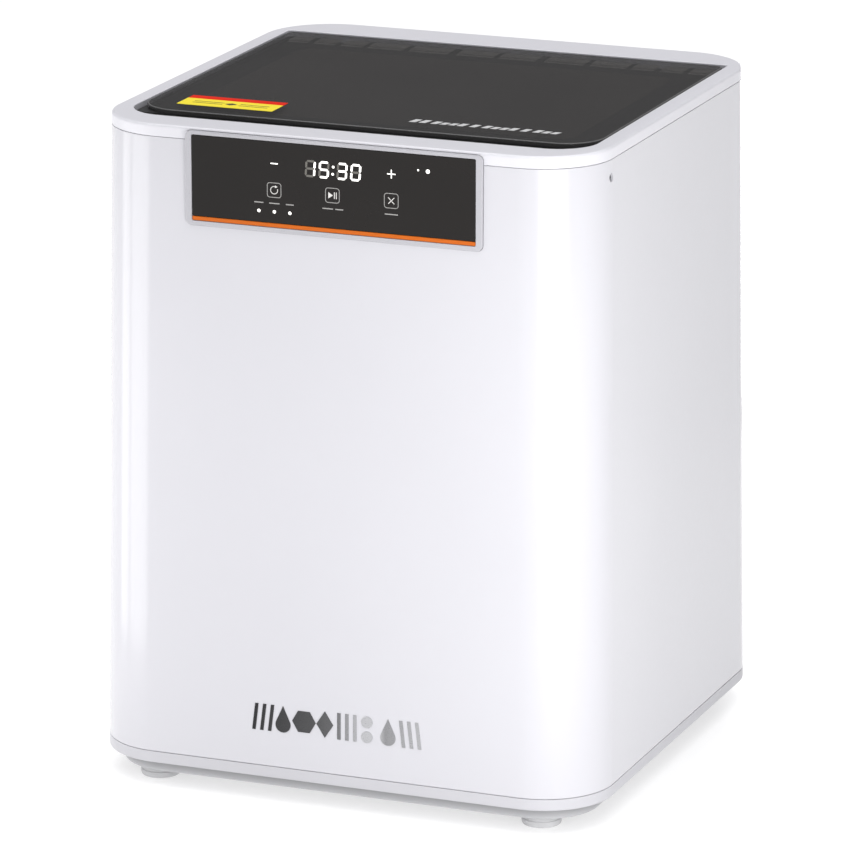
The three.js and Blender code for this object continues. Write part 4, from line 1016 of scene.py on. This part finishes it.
def make_rocker():
    pivot, tilt = (SWITCH_X, 188, SOCKET_Z), -10
    hollow, depth = 22.2, 26
    key = prism("rocker_key", outline((-5, 5), (-3, 4.5), 0.4, steps=3), (-7.6, 7.6))
    carve(key, rod("cut", (depth, 0), hollow, (-8, 8), axis="x", ease=0.01, sides=160))
    fuse(key, rod("stud", (0, 0), 1.1, (-5.6, 5.6), axis="x", ease=0.1, sides=24))
    swing(key, pivot, tilt, "X")
    dress(key, BLACK, ["power_rocker"], body="rocker", bevel=0.35)
    on = box("mark", (-0.35, 0.35), (0, 0.12), (3.4, 6.0))
    ring, hole = circle((0, -4.7), 1.35, 24), circle((0, -4.7), 0.85, 24)
    off = loft("mark", [(ring, 0), (ring, 0.12), (hole, 0.12), (hole, 0)], looped=True, axis="y")
    marks = slide(gather("rocker_marks", [on, off]), lambda z: depth - sqrt(hollow ** 2 - z * z) - 0.04)
    dress(swing(marks, pivot, tilt, "X"), PRINT_PALE, body="rocker", slot="light_grey_plastic")


# ---- chamber, bucket and basket

LINER_WALL = 2.5
CHAMBER_FLOOR = 153
BAIL_Z = 347


def make_liner():
    top = LEDGE_BOTTOM - 0.3
    low = span("chamber_liner", 2)[0]
    lip = LINER_WALL + 5
    path = rounded([(-60, low, 0), (LINER_WALL, low, 3), (LINER_WALL, top - 3, 0.5), (lip, top - 3, 0.3),
                    (lip, top, 0.6), (0, top, 0.8), (0, CHAMBER_FLOOR, 5), (-60, CHAMBER_FLOOR, 0)])
    dress(skin("metal_liner", mouth, path), LINER, ["chamber_liner"])


def make_lamps():
    for side, sign in SIDES:
        x = sign * 55
        board = box(f"lamp_strip_{side}", about(x, 12), (115.9, 117.5), (212, 468))
        lamps = [plate("lamp", about(x, 2.6), (113.6, 116.2), (225.4 + 32 * k, 230.6 + 32 * k), 0.6,
                       ease=0.3) for k in range(8)]
        dress(board, GREEN, [f"curing_lamp_board_{side}"])
        dress(gather(f"lamps_{side}", lamps), YELLOW_LAMP, slot="cover_clear")
        cover = plate(f"lamp_cover_{side}", about(x, 16), (108, 117.6), (205, 475), 4, ease=2.0, steps=8)
        carve(cover, pocket(about(x, 13.5), (208, 472), 2, (110.5, 119), "y"))
        dress(cover, COVER, [f"curing_lamp_cover_{side}"])


def centred(half_x, half_y, corner, steps=16):
    return outline((-half_x, half_x), about(AXIS_Y, half_y), corner, steps=steps)


def make_bucket():
    low, high = span("wash_bucket", 2)
    x, y, corner = 130, 114.5, 30

    def ring(grow):
        return centred(x + grow, y + grow, max(corner + grow, 8))

    path = rounded([(-60, low, 0), (0, low, 6), (0, high - 4, 0.8), (4, high - 4, 0.4), (4, high, 0.9),
                    (-WALL, high, 0.9), (-WALL, 157, 6), (-60, 157, 0)], steps=6)
    bucket = skin("solvent_bucket", ring, path)

    def finger_hole(sign):
        return pocket(about(sign * (x + 9), 4), about(AXIS_Y, 34), 3.5, (high - 8, high + 1), steps=8)

    grips = []
    for sign in (-1, 1):
        sides = about(sign * (x + 7.5), 9.5)
        grip = prism("grip", outline(sides, about(AXIS_Y, 42), 8, steps=10), (high - 4, high))
        grips.append(carve(grip, finger_hole(sign), prism("cut", ring(-WALL), (high - 5, high + 1))))
    fuse(bucket, *grips, rod("spigot", (0, AXIS_Y), 4, (156, 176), ease=0.6))
    carve(bucket, gather("cut", [finger_hole(sign) for sign in (-1, 1)]))
    dress(bucket, BUCKET, ["wash_bucket"], body="bucket", bevel=0.5)
    marks = [box("mark", about(0, 9 if k % 2 else 14), (AXIS_Y - y - 0.35, AXIS_Y - y + 0.1),
                 about(220 + 30 * k, 0.5)) for k in range(5)]
    dress(gather("bucket_level_marks", marks), BASKET, body="bucket", bevel=0.12)


def make_basket():
    low, high = 180, 340
    x, y, corner = 117, 103.5, 20

    def ring(grow):
        return centred(x + grow, y + grow, max(corner + grow, 6))

    path = rounded([(-50, low, 0), (0, low, 3), (0, high - 4, 0.6), (3, high - 4, 0.3), (3, high, 0.8),
                    (-2.5, high, 0.8), (-2.5, low + 3, 3), (-50, low + 3, 0)])
    basket = skin("part_basket", ring, path)
    across = range(-80, 81, 32)
    cutters = []
    for band in ((194, 256), (264, 326)):
        cutters += [pocket(about(place, 12), band, 4, side, "y") for place in across
                    for side in ((AXIS_Y - 130, AXIS_Y - 90), (AXIS_Y + 90, AXIS_Y + 130))]
        cutters += [pocket(about(AXIS_Y + place, 11), band, 4, side, "x")
                    for place in range(-60, 61, 30) for side in ((-150, -105), (105, 150))]
    cutters += [pocket(about(place, 12), about(AXIS_Y, 84), 4, (170, 190)) for place in across]
    carve(basket, gather("cut", cutters))
    legs = [box("leg", about(sx * 104, 5), about(AXIS_Y + sy * 90, 5), (157.4, low + 1))
            for sx in (-1, 1) for sy in (-1, 1)]
    lugs = []
    for sign in (-1, 1):
        lug = prism("lug", outline(about(AXIS_Y, 6), (high - 1, 352), 0.3, 5.4, steps=8),
                    about(sign * 115.2, 1.8), axis="x")
        bore = rod("cut", (AXIS_Y, BAIL_Z), 2.3, about(sign * 115, 6), axis="x", sides=32)
        lugs.append(carve(lug, bore))
    fuse(basket, gather("extras", legs), gather("lugs", lugs))
    dress(basket, BASKET, ["wash_basket"], body="basket", bevel=0.4)


def sweep(name, path, radius, sides=16):
    """A round rod along a smooth run of places."""
    curve = bpy.data.curves.new(name, "CURVE")
    curve.dimensions = "3D"
    curve.bevel_depth = radius * MM
    curve.bevel_resolution = sides // 4
    curve.use_fill_caps = True
    line = curve.splines.new("POLY")
    line.points.add(len(path) - 1)
    for point, place in zip(line.points, path):
        point.co = (*(c * MM for c in place), 1)
    holder = put(name, curve)
    obj = put(name, final_mesh(holder))
    bpy.data.objects.remove(holder)
    return outwards(obj)


def make_handle():
    z, x, front, bend = BAIL_Z, 109, AXIS_Y - 70, 16
    path = [(x, AXIS_Y + 4, z), (x, front + bend + 20, z)]
    path += [(x - bend + bend * cos(a), front + bend - bend * sin(a), z)
             for a in (radians(90 * k / 14) for k in range(15))]
    path += [(-px, py, pz) for px, py, pz in reversed(path)]
    bail = sweep("bail_rod", path, 3)
    fuse(bail, *(rod("pin", (AXIS_Y, z), 1.9, about(sign * 113.5, 4.5), axis="x", sides=24)
                 for sign in (-1, 1)))
    dress(bail, STEEL, ["basket_handle"], body="handle")
    profile = [(3.5, -38), (4.6, -38), (5.4, -37.4)]
    for k in range(37):
        radius, half = (5.55, 0.4) if k % 2 else (6, 0.5)
        profile += [(radius, place) for place in about(2 * k - 36, half)]
    profile += [(5.4, 37.4), (4.6, 38), (3.5, 38)]
    grip = lathe("ribbed_grip", (front, z), profile, axis="x", sides=40, looped=True)
    dress(grip, BLACK, ["handle_grip"], body="handle", angle=50)


def make_impeller():
    middle = (0, AXIS_Y)
    wheel = rod("stirring_wheel", middle, 11, (158.5, 173), ease=1.2)
    fuse(wheel, *(swing(box("blade", (-40, 40), (-1.7, 1.7), (161.5, 170.5)), (0, AXIS_Y, 0), 60 * k, "Z")
                  for k in range(3)), rod("plate", middle, 42, (158.5, 162), ease=0.6))
    carve(wheel, rod("cut", middle, 4.6, (150, 180), sides=32))
    dress(wheel, BLACK, ["impeller"], body="impeller", bevel=0.4)


# ---- sealed inner pieces


def refine(node, surface, bevel=0.25, body="root"):
    """A CAD node's own shape with its flat stretches joined up and its edges softened."""
    obj = put(f"{node}_fine", frame["nodes"][node].data.copy())
    bm = bmesh.new()
    bm.from_mesh(obj.data)
    bmesh.ops.remove_doubles(bm, verts=bm.verts, dist=DOUBLE)
    bmesh.ops.dissolve_limit(bm, angle_limit=radians(0.5), verts=bm.verts, edges=bm.edges)
    bm.to_mesh(obj.data)
    bm.free()
    dress(obj, surface, [node], body, bevel=bevel, angle=34, segments=2)


def make_drive():
    refine("magnet_rotor", BLACK, body="rotor")
    for k in range(1, 5):
        refine(f"rotor_magnet_{k}", MAGNET, body="rotor")
    refine("motor_shaft", STEEL, body="rotor")
    refine("drive_motor", STEEL, 0.5)
    refine("motor_bracket", STEEL)
    refine("shaft_bearing", MAGNET)


def make_electronics():
    refine("main_board", GREEN)
    refine("touch_board", GREEN, 0.1)
    refine("power_supply", STEEL, 0.4)
    refine("lid_sensor", BLACK, 0.3)


make_rear()
make_side_screw()
make_fan()
make_inlet_and_switch()
make_liner()
make_lamps()
make_bucket()
make_basket()
make_handle()
make_impeller()
make_drive()
make_electronics()


# ---- floor, lights and camera


def make_floor():
    corners = [(x * 30000, y * 30000, 0) for x, y in ((-1, -1), (1, -1), (1, 1), (-1, 1))]
    floor = new_object("floor", corners, [(0, 1, 2, 3)])
    floor.data.materials.append(FLOOR)


AIM_HEIGHT = 250


def light(name, kind, power):
    data = bpy.data.lights.new(name, kind)
    data.energy = power
    return put(name, data)


def soft_panel(name, azimuth, reach, height, size, power):
    """A soft rectangle of light that faces the object from a place on a ring about it.
    Azimuth 0 is in front of the object and 90 to its right. Reach and heights are in millimetres."""
    lamp = light(name, "AREA", power)
    lamp.data.shape = "RECTANGLE"
    lamp.data.size, lamp.data.size_y = size
    a = radians(azimuth)
    lamp.location = (reach * sin(a) * MM, -reach * cos(a) * MM, height * MM)
    facing = Vector((0, 0, AIM_HEIGHT * MM)) - lamp.location
    lamp.rotation_euler = facing.to_track_quat("-Z", "Y").to_euler()
    lamp.visible_camera = False


def make_world():
    """An even pale surround that is darker low down, where the lid's mirror image of it falls."""
    world = bpy.data.worlds.new("studio")
    world.use_nodes = True
    bpy.context.scene.world = world
    tree = world.node_tree
    background = tree.nodes["Background"]
    coordinates = tree.nodes.new("ShaderNodeTexCoord")
    split = tree.nodes.new("ShaderNodeSeparateXYZ")
    ramp = tree.nodes.new("ShaderNodeValToRGB")
    stops = ((0.25, (0.30, 0.30, 0.31, 1)), (0.6, (0.75, 0.75, 0.78, 1)))
    for element, (where, colour) in zip(ramp.color_ramp.elements, stops):
        element.position = where
        element.color = colour
    tree.links.new(coordinates.outputs["Generated"], split.inputs["Vector"])
    tree.links.new(split.outputs["Z"], ramp.inputs["Fac"])
    tree.links.new(ramp.outputs["Color"], background.inputs["Color"])
    background.inputs["Strength"].default_value = 0.5


def make_lights():
    # Even light from straight above, which reaches the whole floor alike
    light("overhead", "SUN", 2.38).data.angle = radians(70)
    soft_panel("front_right", 32, 760, 300, (0.25, 0.58), 1.3)
    soft_panel("corner_right", 44, 700, 300, (0.25, 0.58), 1.2)
    soft_panel("corner_left", -46, 560, 260, (0.20, 0.5), 0.6)
    soft_panel("left_side", -65, 560, 260, (0.12, 0.5), 0.32)
    soft_panel("rear_fill", 180, 950, 260, (0.36, 0.46), 2.0)


CAMERA_PLACE = (1.541152, -3.907731, 1.402582)
CAMERA_PITCH, CAMERA_TURN = 74.516, 21.595
CAMERA_LENS = 248.22


def make_camera():
    data = bpy.data.cameras.new("camera")
    data.lens = CAMERA_LENS
    data.sensor_width = 36
    data.clip_end = 200
    camera = put("camera", data)
    camera.location = CAMERA_PLACE
    camera.rotation_euler = (radians(CAMERA_PITCH), 0, radians(CAMERA_TURN))
    bpy.context.scene.camera = camera


make_floor()
make_world()
make_lights()
make_camera()
bpy.context.scene.view_settings.view_transform = "Standard"
